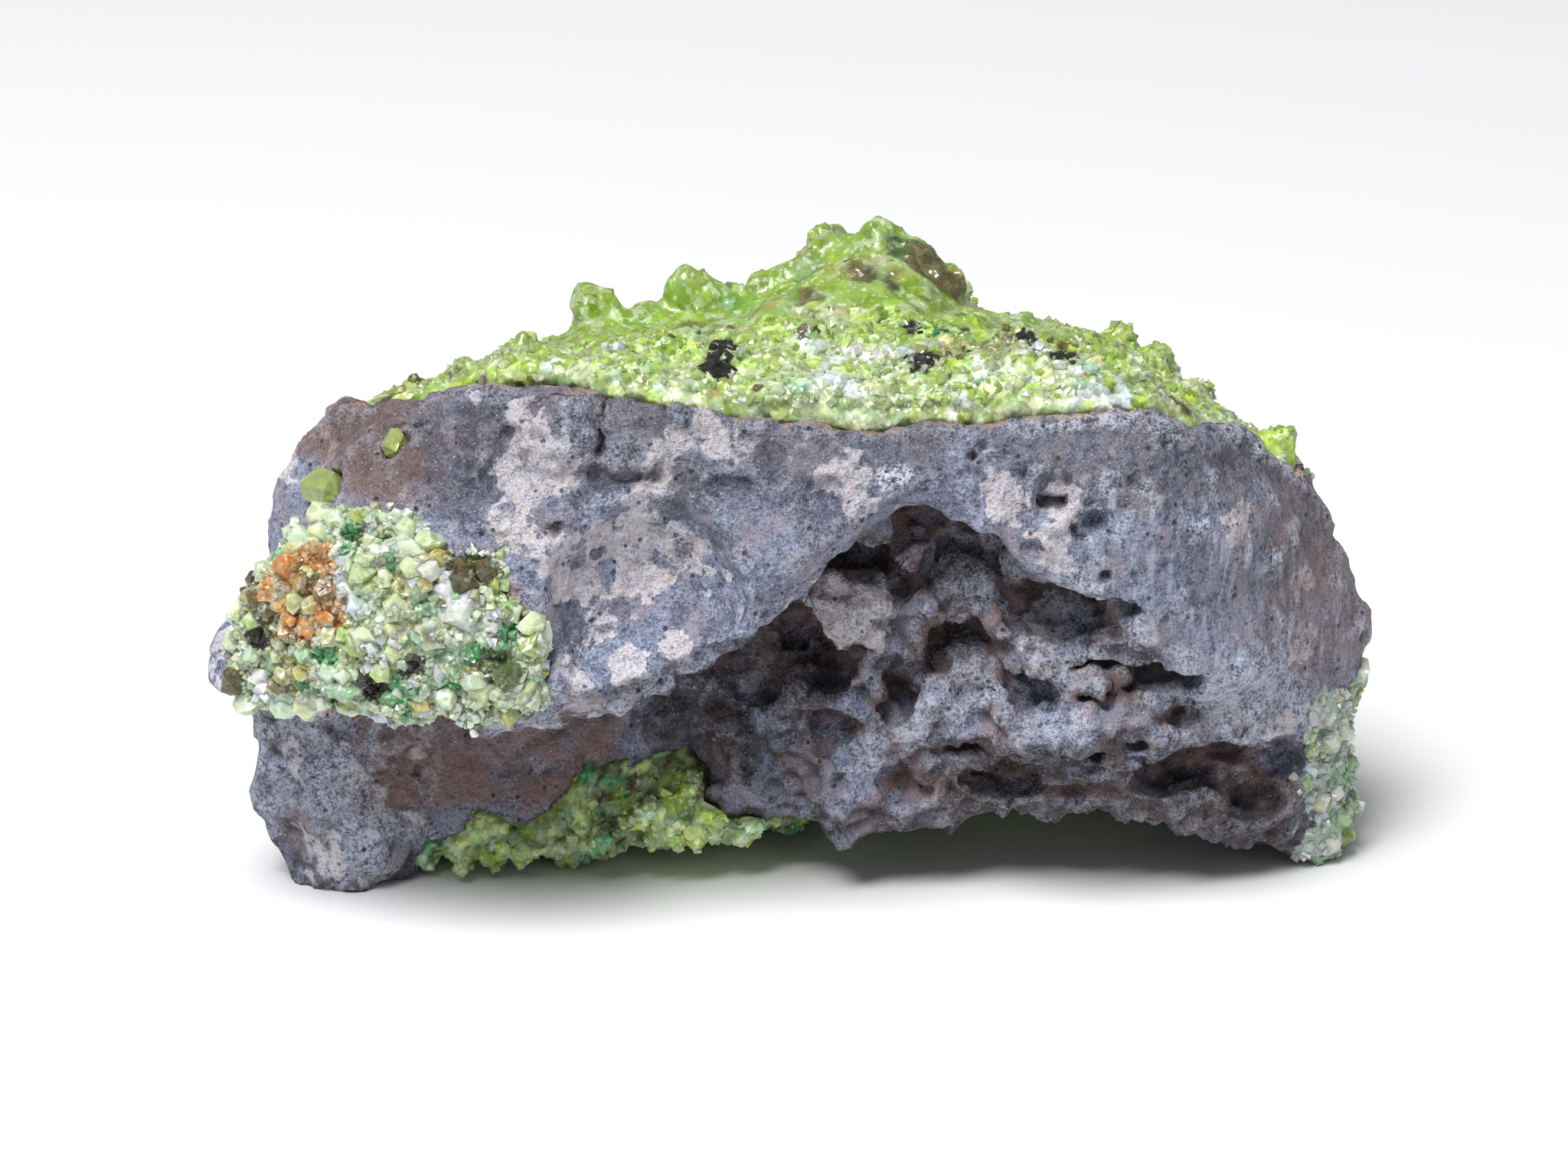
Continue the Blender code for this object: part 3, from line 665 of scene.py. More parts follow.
@dataclass(frozen=True)
class OlivineFinish:
    """Granular olivine: each grain's own tint, broken faces that glint, painted glints on small flecks, and a share of
    clear glass.
    """

    name: str
    clearness: float = 0.0
    facet: float = 0.45
    tilt: float = 0.9
    roughness: tuple[float, float] = (0.16, 0.42)
    frost: float = 0.30
    glow: float = 0.55

    def material(self) -> bpy.types.Material:
        """Builds the material.

        Returns:
            The finished material.
        """
        bench = Bench(self.name)
        broken = bench.cells(self.facet)
        tiny = bench.cells(0.42 * self.facet)
        shade = bench.node("ShaderNodeSeparateColor", {"Color": broken.outputs["Color"]})
        fleck = bench.node("ShaderNodeSeparateColor", {"Color": tiny.outputs["Color"]})
        tint = bench.tint("tint")
        colour = bench.mix(bench.span(shade.outputs[0], 0.0, 1.0, (0.0, 0.36)), tint, (0.12, 0.15, 0.04), "MULTIPLY")
        light = bench.span(bench.node("ShaderNodeSeparateColor", {"Color": tint}).outputs[1], 0.06, 0.35)
        frosted = bench.maths("MULTIPLY", bench.span(shade.outputs[1], 0.62, 1.0, (0.0, self.frost)), light)
        colour = bench.mix(frosted, colour, (0.86, 0.92, 0.80))
        # Painted glints: small flecks made nearly white.
        painted_glint = bench.maths("MULTIPLY", bench.span(fleck.outputs[2], 0.86, 0.95, (0.0, self.frost)), light)
        colour = bench.mix(painted_glint, colour, (0.92, 0.95, 0.90))
        bench.feed(bench.shader.inputs["Base Color"], colour)
        low, high = self.roughness
        bench.feed(bench.shader.inputs["Roughness"], bench.span(fleck.outputs[0], 0.0, 1.0, (low, high)))
        bench.shader.inputs["IOR"].default_value = 1.67
        bench.shader.inputs["Transmission Weight"].default_value = self.clearness
        bench.shader.inputs["Subsurface Weight"].default_value = self.glow
        bench.shader.inputs["Subsurface Radius"].default_value = (1.0, 1.0, 0.6)
        bench.shader.inputs["Subsurface Scale"].default_value = 0.7 * MM
        normal = bench.node("ShaderNodeNewGeometry").outputs["Normal"]
        calm = bench.span(bench.number("glassy"), 0.0, 1.0, (1.0, 0.15))
        for cells, share in ((broken, self.tilt), (tiny, 0.5 * self.tilt)):
            lean = bench.node("ShaderNodeVectorMath", {0: cells.outputs["Color"], 1: (0.5, 0.5, 0.5)}, operation="SUBTRACT")
            part = bench.node("ShaderNodeVectorMath", {0: lean.outputs[0], "Scale": bench.maths("MULTIPLY", calm, share)},
                              operation="SCALE")
            normal = bench.node("ShaderNodeVectorMath", {0: normal, 1: part.outputs[0]}, operation="ADD").outputs[0]
        normal = bench.node("ShaderNodeVectorMath", {0: normal}, operation="NORMALIZE").outputs[0]
        bench.feed(bench.shader.inputs["Normal"], normal)
        return bench.material


@dataclass(frozen=True)
class ClearOlivineFinish:
    """One clear crystal: glass of olivine's index that takes its green from its depth."""

    name: str
    absorbed: tuple[float, float, float] = (0.62, 0.80, 0.18)
    density: float = 700.0
    roughness: float = 0.07

    def material(self) -> bpy.types.Material:
        """Builds the material.

        Returns:
            The finished material.
        """
        bench = Bench(self.name)
        shader = bench.shader
        shader.inputs["Base Color"].default_value = (0.84, 0.95, 0.42, 1.0)
        shader.inputs["IOR"].default_value = 1.67
        shader.inputs["Transmission Weight"].default_value = 0.78
        scratch = bench.noise(0.25, 3.0, 0.6)
        bench.feed(shader.inputs["Roughness"], bench.span(scratch, 0.4, 0.7, (self.roughness, 4.0 * self.roughness)))
        bench.feed(shader.inputs["Normal"], bench.bump(bench.noise(0.6, 2.0), 0.08, 0.35))
        volume = bench.node("ShaderNodeVolumeAbsorption", {"Color": (*self.absorbed, 1.0), "Density": self.density})
        bench.feed(bench.output.inputs["Volume"], volume.outputs[0])
        return bench.material


@dataclass(frozen=True)
class Spot:
    """A grain or stain that the specimen shows at one place: its centre and reach in millimetres."""

    x: float
    y: float
    z: float
    reach: float
    mineral: Mineral


def minerals(numbers: np.ndarray, blend: Blend) -> np.ndarray:
    """Chooses a mineral for each of N grains.

    Each kind takes a stretch of 0 to 1 as long as its share, and a grain's number falls in one.

    Args:
        numbers: N even random numbers from 0 to 1.
        blend: The kinds and their shares.

    Returns:
        N places in the list of all minerals.
    """
    kinds = list(Mineral)
    edges = np.cumsum([share for _, share in blend])
    chosen = np.minimum(np.searchsorted(edges / edges[-1], numbers), len(blend) - 1)
    return np.array([kinds.index(kind) for kind, _ in blend])[chosen]


def drifted(points: np.ndarray, numbers: np.ndarray, wavelength: float) -> np.ndarray:
    """Leans random numbers towards a slow noise, so that like grains gather in drifts.

    Args:
        points: N points in millimetres.
        numbers: N numbers from 0 to 1.
        wavelength: The drifts' size in millimetres.

    Returns:
        N numbers from 0 to 1.
    """
    slow = layered_noise(points, wavelength, 2, 131)
    return np.clip(0.5 + 0.72 * (numbers - 0.5) + 0.30 * slow, 0.0, 1.0)


def clumped(points: np.ndarray, own: np.ndarray, size: float, share: float, salt: int) -> np.ndarray:
    """Gives most grains the number of the clump that they stand in: a larger cell with wavy edges.

    Args:
        points: N points in millimetres.
        own: The grains' own numbers from 0 to 1.
        size: A clump's width in millimetres.
        share: The share of grains that follow their clump.
        salt: Chooses an independent set.

    Returns:
        N numbers from 0 to 1.
    """
    wave = np.stack([layered_noise(points, 0.8 * size, 2, salt + k) for k in range(3)], axis=1)
    clump = cells_of(points + 0.3 * size * wave, size, salt + 3)
    return np.where(own * 13.0 % 1.0 < share, clump.number(salt + 4), own)


def inside(x: np.ndarray, z: np.ndarray, outline: tuple[tuple[float, float], ...]) -> np.ndarray:
    """Tells which points lie in an outline without level edges: an odd number of edges lie right of them.

    Args:
        x: N places across.
        z: N heights.
        outline: The corners in order.

    Returns:
        N truths.
    """
    found = np.zeros(len(x), bool)
    for (x0, z0), (x1, z1) in zip(outline, outline[1:] + outline[:1]):
        found ^= ((z0 > z) != (z1 > z)) & (x < x0 + (z - z0) * (x1 - x0) / (z1 - z0))
    return found


def spotted(kinds: np.ndarray, points: np.ndarray, spots: tuple[Spot, ...]) -> np.ndarray:
    """Gives the points inside each spot the spot's own mineral.

    Args:
        kinds: N places in the list of minerals.
        points: The N points in millimetres.
        spots: The spots, of which a later one covers an earlier one.

    Returns:
        The kinds with the spots in them.
    """
    made = kinds.copy()
    for spot in spots:
        away = np.linalg.norm(points - np.array([spot.x, spot.y, spot.z]), axis=1)
        made[away < spot.reach] = list(Mineral).index(spot.mineral)
    return made


def tints(kinds: np.ndarray, bright: np.ndarray, warm: np.ndarray) -> np.ndarray:
    """The colour of each grain: its mineral's, made lighter or darker and warmer or cooler.

    Args:
        kinds: N places in the list of minerals.
        bright: N numbers from 0 to 1.
        warm: N numbers from 0 to 1.

    Returns:
        N linear colours.
    """
    colours = np.array([kind.colour for kind in Mineral])[kinds]
    spreads = np.array([kind.spread for kind in Mineral])[kinds]
    made = colours * (1.0 + spreads * (2.0 * bright - 1.0))[:, None]
    lean = 0.12 * (2.0 * warm - 1.0)
    made = made * np.stack([1.0 + lean, np.ones_like(lean), 1.0 - lean], axis=1)
    return np.clip(made, 0.003, 0.95)


@dataclass(frozen=True)
class GrainShape:
    """A small crystal: rings of points at set heights, closed by a point at each end."""

    rings: tuple[tuple[float, float], ...]
    sides: int
    uneven: float = 0.2
    point: float = 0.18

    def faces(self) -> np.ndarray:
        """The triangles of one crystal: two for each cell between rings, and a fan at each end.

        Returns:
            Three point numbers a triangle, facing outwards.
        """
        made = []
        count = len(self.rings)
        bottom, top = count * self.sides, count * self.sides + 1
        for side in range(self.sides):
            after = (side + 1) % self.sides
            for ring in range(count - 1):
                a, b = ring * self.sides + side, ring * self.sides + after
                c, d = a + self.sides, b + self.sides
                made += [(a, b, d), (a, d, c)]
            last = (count - 1) * self.sides
            made += [(bottom, after, side), (top, last + side, last + after)]
        return np.array(made)

    def points(self, total: int, chance: np.random.Generator) -> np.ndarray:
        """Lays out the points of many crystals of unit size.

        A point of ring k and side j is at the ring's radius times (cos, sin) of j's share of a full
        turn, and at the ring's height, each with its own small random error.

        Args:
            total: How many crystals.
            chance: Where the errors come from.

        Returns:
            An array of total, points and three numbers.
        """
        angle = math.tau * np.arange(self.sides) / self.sides
        height, radius = np.array(self.rings).T
        shape = (total, len(self.rings), self.sides)
        wobble = chance.uniform(-self.uneven, self.uneven, (4, *shape))
        wide = radius[None, :, None] * (1.0 + wobble[0])
        turn = angle[None, None, :] + wobble[1]
        local = np.stack([
            wide * np.cos(turn),
            wide * np.sin(turn),
            height[None, :, None] + 0.6 * wobble[2] + 0.0 * turn,
        ], axis=-1).reshape(total, -1, 3)
        ends = np.zeros((total, 2, 3))
        ends[:, 0, 2] = height[0] - self.point
        ends[:, 1, 2] = height[-1] + self.point
        ends[:, :, :2] = chance.uniform(-0.25, 0.25, (total, 2, 2))
        return np.concatenate([local, ends], axis=1)


CHIP = GrainShape(rings=((-0.40, 0.44), (0.40, 0.38)), sides=4, uneven=0.26, point=0.06)
STUB = GrainShape(rings=((-0.38, 0.40), (0.05, 0.50), (0.42, 0.32)), sides=5, uneven=0.22, point=0.08)


def frames_on(normals: np.ndarray, loose: float, chance: np.random.Generator) -> np.ndarray:
    """A turned frame for each crystal, with its long axis near the surface's normal.

    Args:
        normals: N unit normals.
        loose: How far the axis may lean, as a share of the normal's length.
        chance: Where the lean and the spin come from.

    Returns:
        N matrices, whose columns are the crystal's own axes.
    """
    axis = normals + chance.uniform(-loose, loose, normals.shape)
    axis /= np.linalg.norm(axis, axis=1)[:, None]
    helper = chance.normal(size=normals.shape)
    side = np.cross(axis, helper)
    side /= np.linalg.norm(side, axis=1)[:, None]
    return np.stack([side, np.cross(axis, side), axis], axis=2)


class GrainField:
    """Many small crystals joined in one mesh."""

    def __init__(self, name: str, shape: GrainShape) -> None:
        """Starts an empty field of crystals of one shape."""
        self.name, self.shape = name, shape
        self.blocks: list[tuple[np.ndarray, np.ndarray]] = []

    def grow(self, centres: np.ndarray, frames: np.ndarray, sizes: np.ndarray, colours: np.ndarray, chance: np.random.Generator) -> None:
        """Adds crystals: each unit crystal's points, scaled, turned by its frame and moved to its centre.

        Args:
            centres: N centres in millimetres.
            frames: N matrices.
            sizes: N sizes in millimetres, or N rows of three.
            colours: N linear colours.
            chance: Where the shapes' errors come from.
        """
        local = self.shape.points(len(centres), chance)
        local = local * (sizes[:, None, None] if sizes.ndim == 1 else sizes[:, None, :])
        world = np.einsum("nij,npj->npi", frames, local) + centres[:, None, :]
        self.blocks.append((world, np.repeat(colours, world.shape[1], axis=0)))

    def finish(self, material: bpy.types.Material, slot: str, low: float = 0.0) -> bpy.types.Object:
        """Writes all the crystals to one mesh.

        Args:
            material: The finish.
            slot: Not used.
            low: The height in millimetres that no point goes below.

        Returns:
            The piece.
        """
        world = np.concatenate([block for block, _ in self.blocks])
        colours = np.concatenate([block for _, block in self.blocks])
        total, each = world.shape[:2]
        points = world.reshape(-1, 3)
        points = np.clip(points, np.array(cad_lowest) / MM, np.array(cad_highest) / MM)
        points[:, 2] = np.maximum(points[:, 2], low)
        faces = (self.shape.faces()[None] + (np.arange(total) * each)[:, None, None]).reshape(-1, 3)
        data = bpy.data.meshes.new(self.name)
        data.vertices.add(len(points))
        data.vertices.foreach_set("co", (points * MM).astype(np.float32).ravel())
        data.loops.add(faces.size)
        data.loops.foreach_set("vertex_index", faces.astype(np.int32).ravel())
        data.polygons.add(len(faces))
        data.polygons.foreach_set("loop_start", np.arange(0, faces.size, 3, dtype=np.int32))
        data.update(calc_edges=True)
        layer = data.attributes.new("tint", "FLOAT_COLOR", "POINT")
        rgba = np.concatenate([colours, np.ones((len(colours), 1))], axis=1)
        layer.data.foreach_set("color", rgba.astype(np.float32).ravel())
        data.polygons.foreach_set("use_smooth", np.zeros(len(faces), bool))
        data.materials.append(material)
        obj = bpy.data.objects.new(self.name, data)
        bpy.context.scene.collection.objects.link(obj)
        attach(obj, BODY)
        log.info("%s: %d crystals, %d triangles", self.name, total, len(faces))
        return obj


def one_per_cell(cells: Cells) -> np.ndarray:
    """Picks the point nearest to each cell's seed.

    Args:
        cells: The cells of N points.

    Returns:
        The places of the picked points, one a cell.
    """
    order = np.argsort(cells.nearest, kind="stable")
    _, first = np.unique(cells.cell[order], axis=0, return_index=True)
    return order[first]


def pocks(skin: RockSkin, size: float, radii: tuple[float, float], share: float, salt: int) -> np.ndarray:
    """Depths of small bubble pits: round hollows about the seeds of a lattice that lie near the surface.

    A point at height h over the seed and at distance d across from it drops by h + sqrt(r^2 - d^2),
    which is the far side of a ball of radius r.

    Args:
        skin: The rock.
        size: The lattice's spacing in millimetres.
        radii: The smallest and largest radius in millimetres.
        share: The share of seeds that have a pit.
        salt: Chooses an independent set.

    Returns:
        N depths in millimetres.
    """
    cells = cells_of(skin.points, size, salt)
    radius = radii[0] + (radii[1] - radii[0]) * cells.number(salt + 20) ** 2
    radius = np.where(cells.number(salt + 21) < share, radius, 0.0)
    height = np.einsum("nk,nk->n", skin.points - cells.seed, skin.normals)
    across = np.maximum(cells.nearest**2 - height**2, 0.0)
    depth = height + np.sqrt(np.maximum(radius**2 - across, 0.0))
    open_pit = (across < radius**2) & (height < 0.8 * radius) & (depth > 0.0)
    return np.where(open_pit, np.minimum(depth, 1.3 * radius), 0.0)


def facets(skin: RockSkin, size: float, lean: float, step: float, groove: float, salt: int) -> np.ndarray:
    """Heights of crystal faces: each lattice cell is a tilted plane, with a groove round it.

    The height is the lean times the distance from the seed along the cell's random direction, plus
    the cell's random step, less the groove where the nearest two seeds are almost as close.

    Args:
        skin: The rock.
        size: A grain's width in millimetres.
        lean: The slope of the steepest face.
        step: How far a grain stands out or in, in millimetres.
        groove: The groove's depth in millimetres.
        salt: Chooses an independent set.

    Returns:
        N heights in millimetres.
    """
    cells = cells_of(skin.points, size, salt)
    away = skin.points - cells.seed
    plane = lean * np.einsum("nk,nk->n", away, cells.direction(salt + 30))
    edge = 1.0 - smooth_step(0.0, 0.25 * size, cells.second - cells.nearest)
    steps = step * (2.0 * cells.number(salt + 40) - 1.0)
    return np.clip(plane, -0.4 * size, 0.4 * size) + steps - groove * edge


def domes(skin: RockSkin, size: float, height: float, salt: int) -> np.ndarray:
    """Heights of rounded grains: each lattice cell is a dome, highest at its seed.

    Args:
        skin: The rock.
        size: A grain's width in millimetres.
        height: How far a grain stands out at its middle, in millimetres.
        salt: Chooses an independent set.

    Returns:
        N heights in millimetres.
    """
    cells = cells_of(skin.points, size, salt)
    edge = smooth_step(0.0, 0.9 * size, cells.second - cells.nearest)
    return height * (0.6 + 0.8 * cells.number(salt + 50)) * (np.sqrt(edge) - 0.5)


@dataclass
class BasaltRind:
    """The vesicular basalt in front: its even skin, its hollows, and the marks that it is painted with."""

    grain: float = 0.247
    waves: tuple[tuple[float, float], ...] = ((3.9, 0.26), (2.3, 0.20), (1.2, 0.14), (0.75, 0.11), (0.5, 0.09))
    lip: tuple[tuple[float, float], ...] = (
        (-28.7, 12.5), (-24.5, 11.6), (-19.2, 11.9), (-14.1, 11.5), (-11.9, 12.7), (-8.3, 13.6),
        (-4.6, 15.2), (-1.0, 16.1), (1.2, 18.5), (3.3, 21.0), (5.9, 22.2), (8.4, 21.0), (10.6, 19.1),
        (13.5, 17.6), (16.5, 15.6), (19.2, 12.8), (21.0, 10.4), (23.4, 8.4), (29.2, 8.4),
    )
    dents: Balls = (
        (-7.9, -14.5, 18.6, 5.4, 6.0, 5.5), (-13.1, -12.6, 24.4, 2.9, 4.3, 2.7),
        (-9.25, -8.2, 26.0, 0.4, 0.9, 0.9), (-9.3, -8.8, 24.8, 0.45, 1.0, 1.0), (-9.5, -9.4, 23.4, 0.4, 0.9, 0.9),
        (-29.5, -7.2, 16.1, 3.2, 4.6, 3.3), (-3.4, -11.0, 23.0, 1.4, 1.4, 0.7), (14.1, -11.3, 21.3, 0.8, 2.2, 0.55), (12.2, -12.0, 23.1, 1.4, 2.8, 1.0),
    )
    hollows: Balls = (
        (2.6, -5.6, 16.8, 2.2, 2.6, 2.7), (6.4, -5.8, 20.2, 1.5, 2.2, 1.4), (4.6, -6.0, 19.4, 1.2, 1.8, 1.2),
        (7.9, -5.6, 17.3, 2.1, 2.5, 2.0), (9.4, -6.2, 19.2, 1.4, 2.2, 1.2), (5.0, -6.4, 16.5, 0.8, 1.7, 0.9),
        (7.9, -5.8, 13.1, 2.2, 2.5, 2.6), (12.7, -6.9, 15.9, 2.9, 2.6, 2.2), (15.2, -8.8, 16.7, 1.5, 2.0, 0.9),
        (-0.3, -3.5, 13.4, 1.8, 2.2, 1.6), (1.6, -4.9, 12.2, 1.5, 1.8, 1.6), (-2.0, -3.4, 11.4, 1.9, 1.3, 2.2),
        (4.9, -5.1, 10.3, 1.2, 1.7, 1.1), (11.2, -6.3, 11.9, 1.7, 1.8, 1.4), (17.6, -7.7, 12.3, 2.2, 1.9, 0.9),
        (14.7, -7.3, 12.8, 1.7, 1.5, 0.45), (15.0, -7.6, 11.4, 1.7, 1.4, 0.45), (18.6, -7.0, 10.0, 1.1, 1.6, 0.6),
        (20.4, -5.2, 6.9, 2.9, 2.1, 1.4), (22.9, -4.6, 4.9, 2.1, 1.7, 1.5), (17.6, -5.8, 6.4, 1.6, 1.6, 0.9),
        (9.8, -5.3, 6.2, 2.2, 1.8, 1.1), (8.5, -5.9, 8.0, 2.0, 1.6, 0.6), (16.6, -7.2, 8.9, 1.0, 1.4, 0.5),
        (14.0, -7.1, 8.3, 1.3, 1.4, 0.6), (12.6, -6.8, 9.6, 0.8, 1.2, 0.5), (5.6, -5.7, 5.8, 1.4, 1.4, 0.9),
        (2.0, -5.0, 8.9, 1.4, 1.3, 0.8), (13.8, -6.2, 5.6, 2.2, 1.4, 0.8), (7.0, -6.2, 10.0, 0.6, 1.0, 0.6),
        (10.4, -6.2, 9.6, 0.9, 1.2, 0.5), (3.3, -5.3, 13.6, 0.8, 1.1, 0.8), (21.7, -6.9, 9.0, 0.9, 1.3, 0.5),
    )
    shelf: Balls = (
        (-14.4, -9.4, 11.4, 1.7, 1.5, 0.9), (-12.4, -9.4, 11.9, 1.7, 1.5, 1.1), (-10.4, -9.3, 12.2, 1.5, 1.5, 1.0),
        (-8.6, -9.2, 12.6, 1.5, 1.4, 1.1), (-6.8, -9.0, 13.3, 1.4, 1.4, 1.1), (-5.2, -8.8, 14.1, 1.3, 1.4, 1.0),
        (-3.6, -8.6, 15.0, 1.2, 1.3, 0.9), (-11.4, -8.5, 24.6, 1.9, 1.3, 2.0),
        (2.7, -5.6, 15.6, 2.0, 1.9, 1.6), (8.2, -4.6, 15.9, 1.9, 1.9, 1.4), (8.6, -4.4, 11.6, 1.8, 1.6, 1.3),
        (2.3, -5.6, 14.6, 0.9, 1.6, 1.3), (3.6, -5.8, 14.3, 0.8, 1.4, 0.9), (5.8, -5.9, 14.4, 0.5, 1.3, 1.3),
        (7.0, -5.9, 10.5, 0.9, 1.5, 1.5), (-8.1, -9.0, 23.9, 2.4, 1.0, 0.5), (-11.4, -10.2, 21.6, 1.2, 1.0, 0.7),
    )
    lit: tuple[tuple[float, ...], ...] = (
        (2.6, -6.8, 15.8, 2.4), (8.2, -3.6, 16.1, 2.2), (8.6, -6.0, 12.0, 1.6), (12.5, -5.4, 14.4, 1.3),
        (11.2, -6.3, 11.4, 1.3), (13.2, -7.9, 9.9, 1.1), (21.6, -6.6, 11.2, 3.0), (23.8, -5.0, 9.4, 1.8),
        (6.9, -7.2, 10.3, 1.2), (3.4, -6.0, 7.4, 1.0), (5.6, -6.4, 9.0, 1.4), (-23.0, -3.5, 6.5, 3.2),
        (-21.5, -3.5, 2.6, 2.6), (-24.0, -3.0, 9.6, 2.4), (3.4, -6.4, 16.4, 1.6), (8.2, -4.0, 11.6, 1.3),
        (-14.2, -10.6, 11.4, 1.1), (-12.4, -10.6, 11.9, 1.5), (-10.4, -10.5, 12.2, 1.4), (-8.6, -10.3, 12.6, 1.2),
        (-6.8, -10.0, 13.3, 1.1), (-5.2, -9.6, 14.1, 1.0), (3.2, -3.4, 17.2, 0.9), (8.1, -5.8, 16.8, 1.3),
    )
    shades: tuple[tuple[float, ...], ...] = (
        (-0.4, -3.8, 12.6, 1.8), (0.6, -4.6, 11.6, 1.8), (-1.5, -3.9, 10.4, 1.6), (1.9, -5.5, 12.0, 1.3),
        (-3.5, -3.0, 11.5, 2.2), (-2.2, -3.2, 13.6, 2.0), (-5.2, -2.6, 11.6, 2.2), (-4.2, -2.8, 9.6, 1.8),
        (-6.8, -2.6, 11.0, 1.6), (-6.0, -2.6, 8.6, 2.0), (-3.0, -2.8, 7.4, 1.6),
        (7.5, -4.0, 13.9, 1.4), (12.6, -5.0, 14.8, 1.8),
        (11.2, -4.2, 16.4, 1.4), (13.6, -4.8, 16.2, 1.2), (11.0, -8.0, 7.8, 1.6), (14.4, -8.0, 8.2, 1.7), (22.1, -4.4, 3.4, 2.0), (20.1, -5.0, 5.0, 1.2), (18.2, -5.4, 6.0, 1.2), (23.6, -3.8, 4.4, 1.3),
        (9.6, -5.6, 5.9, 1.4), (8.2, -5.6, 5.2, 1.2), (11.4, -5.8, 6.2, 1.0), (6.2, -6.0, 20.4, 1.1),
        (8.6, -6.0, 19.6, 1.0), (15.4, -6.6, 9.0, 0.7), (13.4, -6.5, 8.1, 1.0), (11.0, -6.2, 8.3, 0.8),
        (14.8, -6.6, 7.4, 0.8), (10.8, -6.6, 9.6, 0.5), (16.4, -6.0, 7.0, 0.9), (12.4, -6.0, 6.4, 0.9),
    )
    wall_roughness: float = 0.13
    chipped: float = 0.26
    crumbled: tuple[tuple[float, float], ...] = ((1.9, 0.40), (1.1, 0.44), (0.65, 0.30))
    layered: float = 0.42
    pits: tuple[tuple[float, ...], ...] = (
        (8.3, -9.8, 24.7, 0.40), (8.8, -9.3, 25.0, 0.34), (2.9, -10.1, 24.1, 0.24),
        (4.4, -10.1, 23.9, 0.22), (10.7, -9.9, 23.8, 0.30), (11.8, -9.9, 22.3, 0.42),
        (12.4, -9.8, 22.2, 0.38), (13.5, -10.6, 20.9, 0.50), (14.6, -10.3, 18.5, 0.32),
        (-19.2, -5.9, 24.6, 0.40), (-18.3, -6.1, 25.0, 0.45), (-17.4, -6.2, 25.3, 0.45),
    )
    # Spots of tan coat. Those on the arch's shell, near x 2.6, also stand for light on a shell in shade: painted light.
    coats: tuple[tuple[float, ...], ...] = (
        (-7.2, -10.0, 20.5, 1.7), (-9.0, -10.0, 19.9, 1.4), (-5.3, -10.3, 19.2, 1.2),
        (-4.1, -11.3, 18.8, 0.8), (-9.9, -10.8, 15.9, 1.2), (-10.4, -10.3, 17.8, 1.4),
        (-7.4, -10.0, 18.0, 1.6), (-7.2, -9.9, 22.2, 1.2), (2.4, -10.5, 23.0, 1.6),
        (-13.5, -8.8, 23.3, 1.5), (-12.1, -9.0, 24.0, 1.5), (-12.8, -8.6, 25.4, 1.2),
        (-7.9, -11.9, 14.3, 1.3), (-5.9, -11.4, 15.0, 0.9), (9.9, -10.3, 22.3, 1.2),
        (12.2, -10.7, 20.5, 0.9), (12.0, -10.4, 19.5, 0.9), (12.7, -9.9, 22.0, 0.9),
        (24.6, -3.6, 15.8, 0.8), (24.7, -3.7, 12.6, 0.9), (23.7, -4.9, 8.6, 0.8),
        (21.1, -7.2, 20.3, 0.9), (-13.8, -10.8, 21.2, 1.2), (2.6, -6.5, 15.6, 2.3),
        (-18.8, -3.2, 6.1, 2.2), (11.7, -6.7, 14.6, 1.2), (2.7, -5.4, 16.8, 1.0),
    )
    blotches: tuple[tuple[float, ...], ...] = (
        (-4.9, -10.3, 22.7, 1.0), (-5.9, -10.3, 21.8, 0.9), (-3.7, -11.2, 20.5, 0.8),
        (-9.4, -9.9, 19.4, 0.45), (-10.5, -10.2, 19.0, 0.4), (-8.3, -9.9, 16.8, 0.55),
        (-5.2, -10.4, 17.9, 0.75), (-5.6, -10.6, 16.6, 0.75), (-4.1, -11.7, 16.6, 1.1),
        (-11.0, -11.0, 16.3, 1.1), (-9.5, -11.8, 14.8, 0.8), (-1.0, -11.7, 18.3, 0.8),
        (-1.3, -9.9, 24.1, 0.8), (18.9, -9.4, 19.9, 0.6), (22.7, -5.9, 18.7, 0.6),
        (-16.0, -9.9, 22.8, 1.6), (-17.5, -8.8, 23.9, 1.3), (-15.3, -7.8, 25.1, 1.0),
        (1.0, -11.0, 21.4, 1.2),
    )
    specks: tuple[tuple[float, ...], ...] = (
        (4.2, -10.3, 23.5, 0.55), (4.9, -10.3, 23.5, 0.5), (-11.6, -11.3, 17.7, 0.3),
        (-7.1, -10.8, 15.3, 0.25), (22.0, -6.1, 10.1, 0.5),
    )
    # Lines carved into the surface and painted dark as shadow lines: a crescent under a rim, a crevice and a line on
    # the left.
    creases: tuple[tuple[tuple[float, float, float], ...], ...] = (
        ((-11.6, -10.9, 21.0), (-10.6, -10.2, 22.0), (-9.7, -9.7, 22.8), (-8.4, -9.5, 23.3), (-7.0, -9.5, 23.5),
         (-5.4, -10.0, 23.4), (-3.8, -10.5, 23.1)),
        ((-9.2, -8.0, 26.6), (-9.3, -8.5, 25.4), (-9.3, -8.8, 24.7), (-9.6, -9.6, 23.0)),
        ((-15.9, -7.6, 25.4), (-15.3, -8.6, 24.0), (-15.6, -9.4, 23.0)),
    )
    crease_width: float = 0.42
    crease_depth: float = 0.45
    rust_reach: float = 0.30
    finish: BasaltFinish = field(default_factory=BasaltFinish)

    def start(self) -> "BasaltRind":
        """Makes the even copy of the CAD node, for the other pieces to be measured against."""
        cutter = bubble_solid(self.dents + self.hollows, np.zeros(3), self.wall_roughness)
        shelf = rough_balls(self.shelf, np.zeros(3), 0.2, 105)
        self.skin = RockSkin("basalt_surface", "basalt_rind", self.grain, cutter, shelf)
        self.skin.soften(1)
        return self

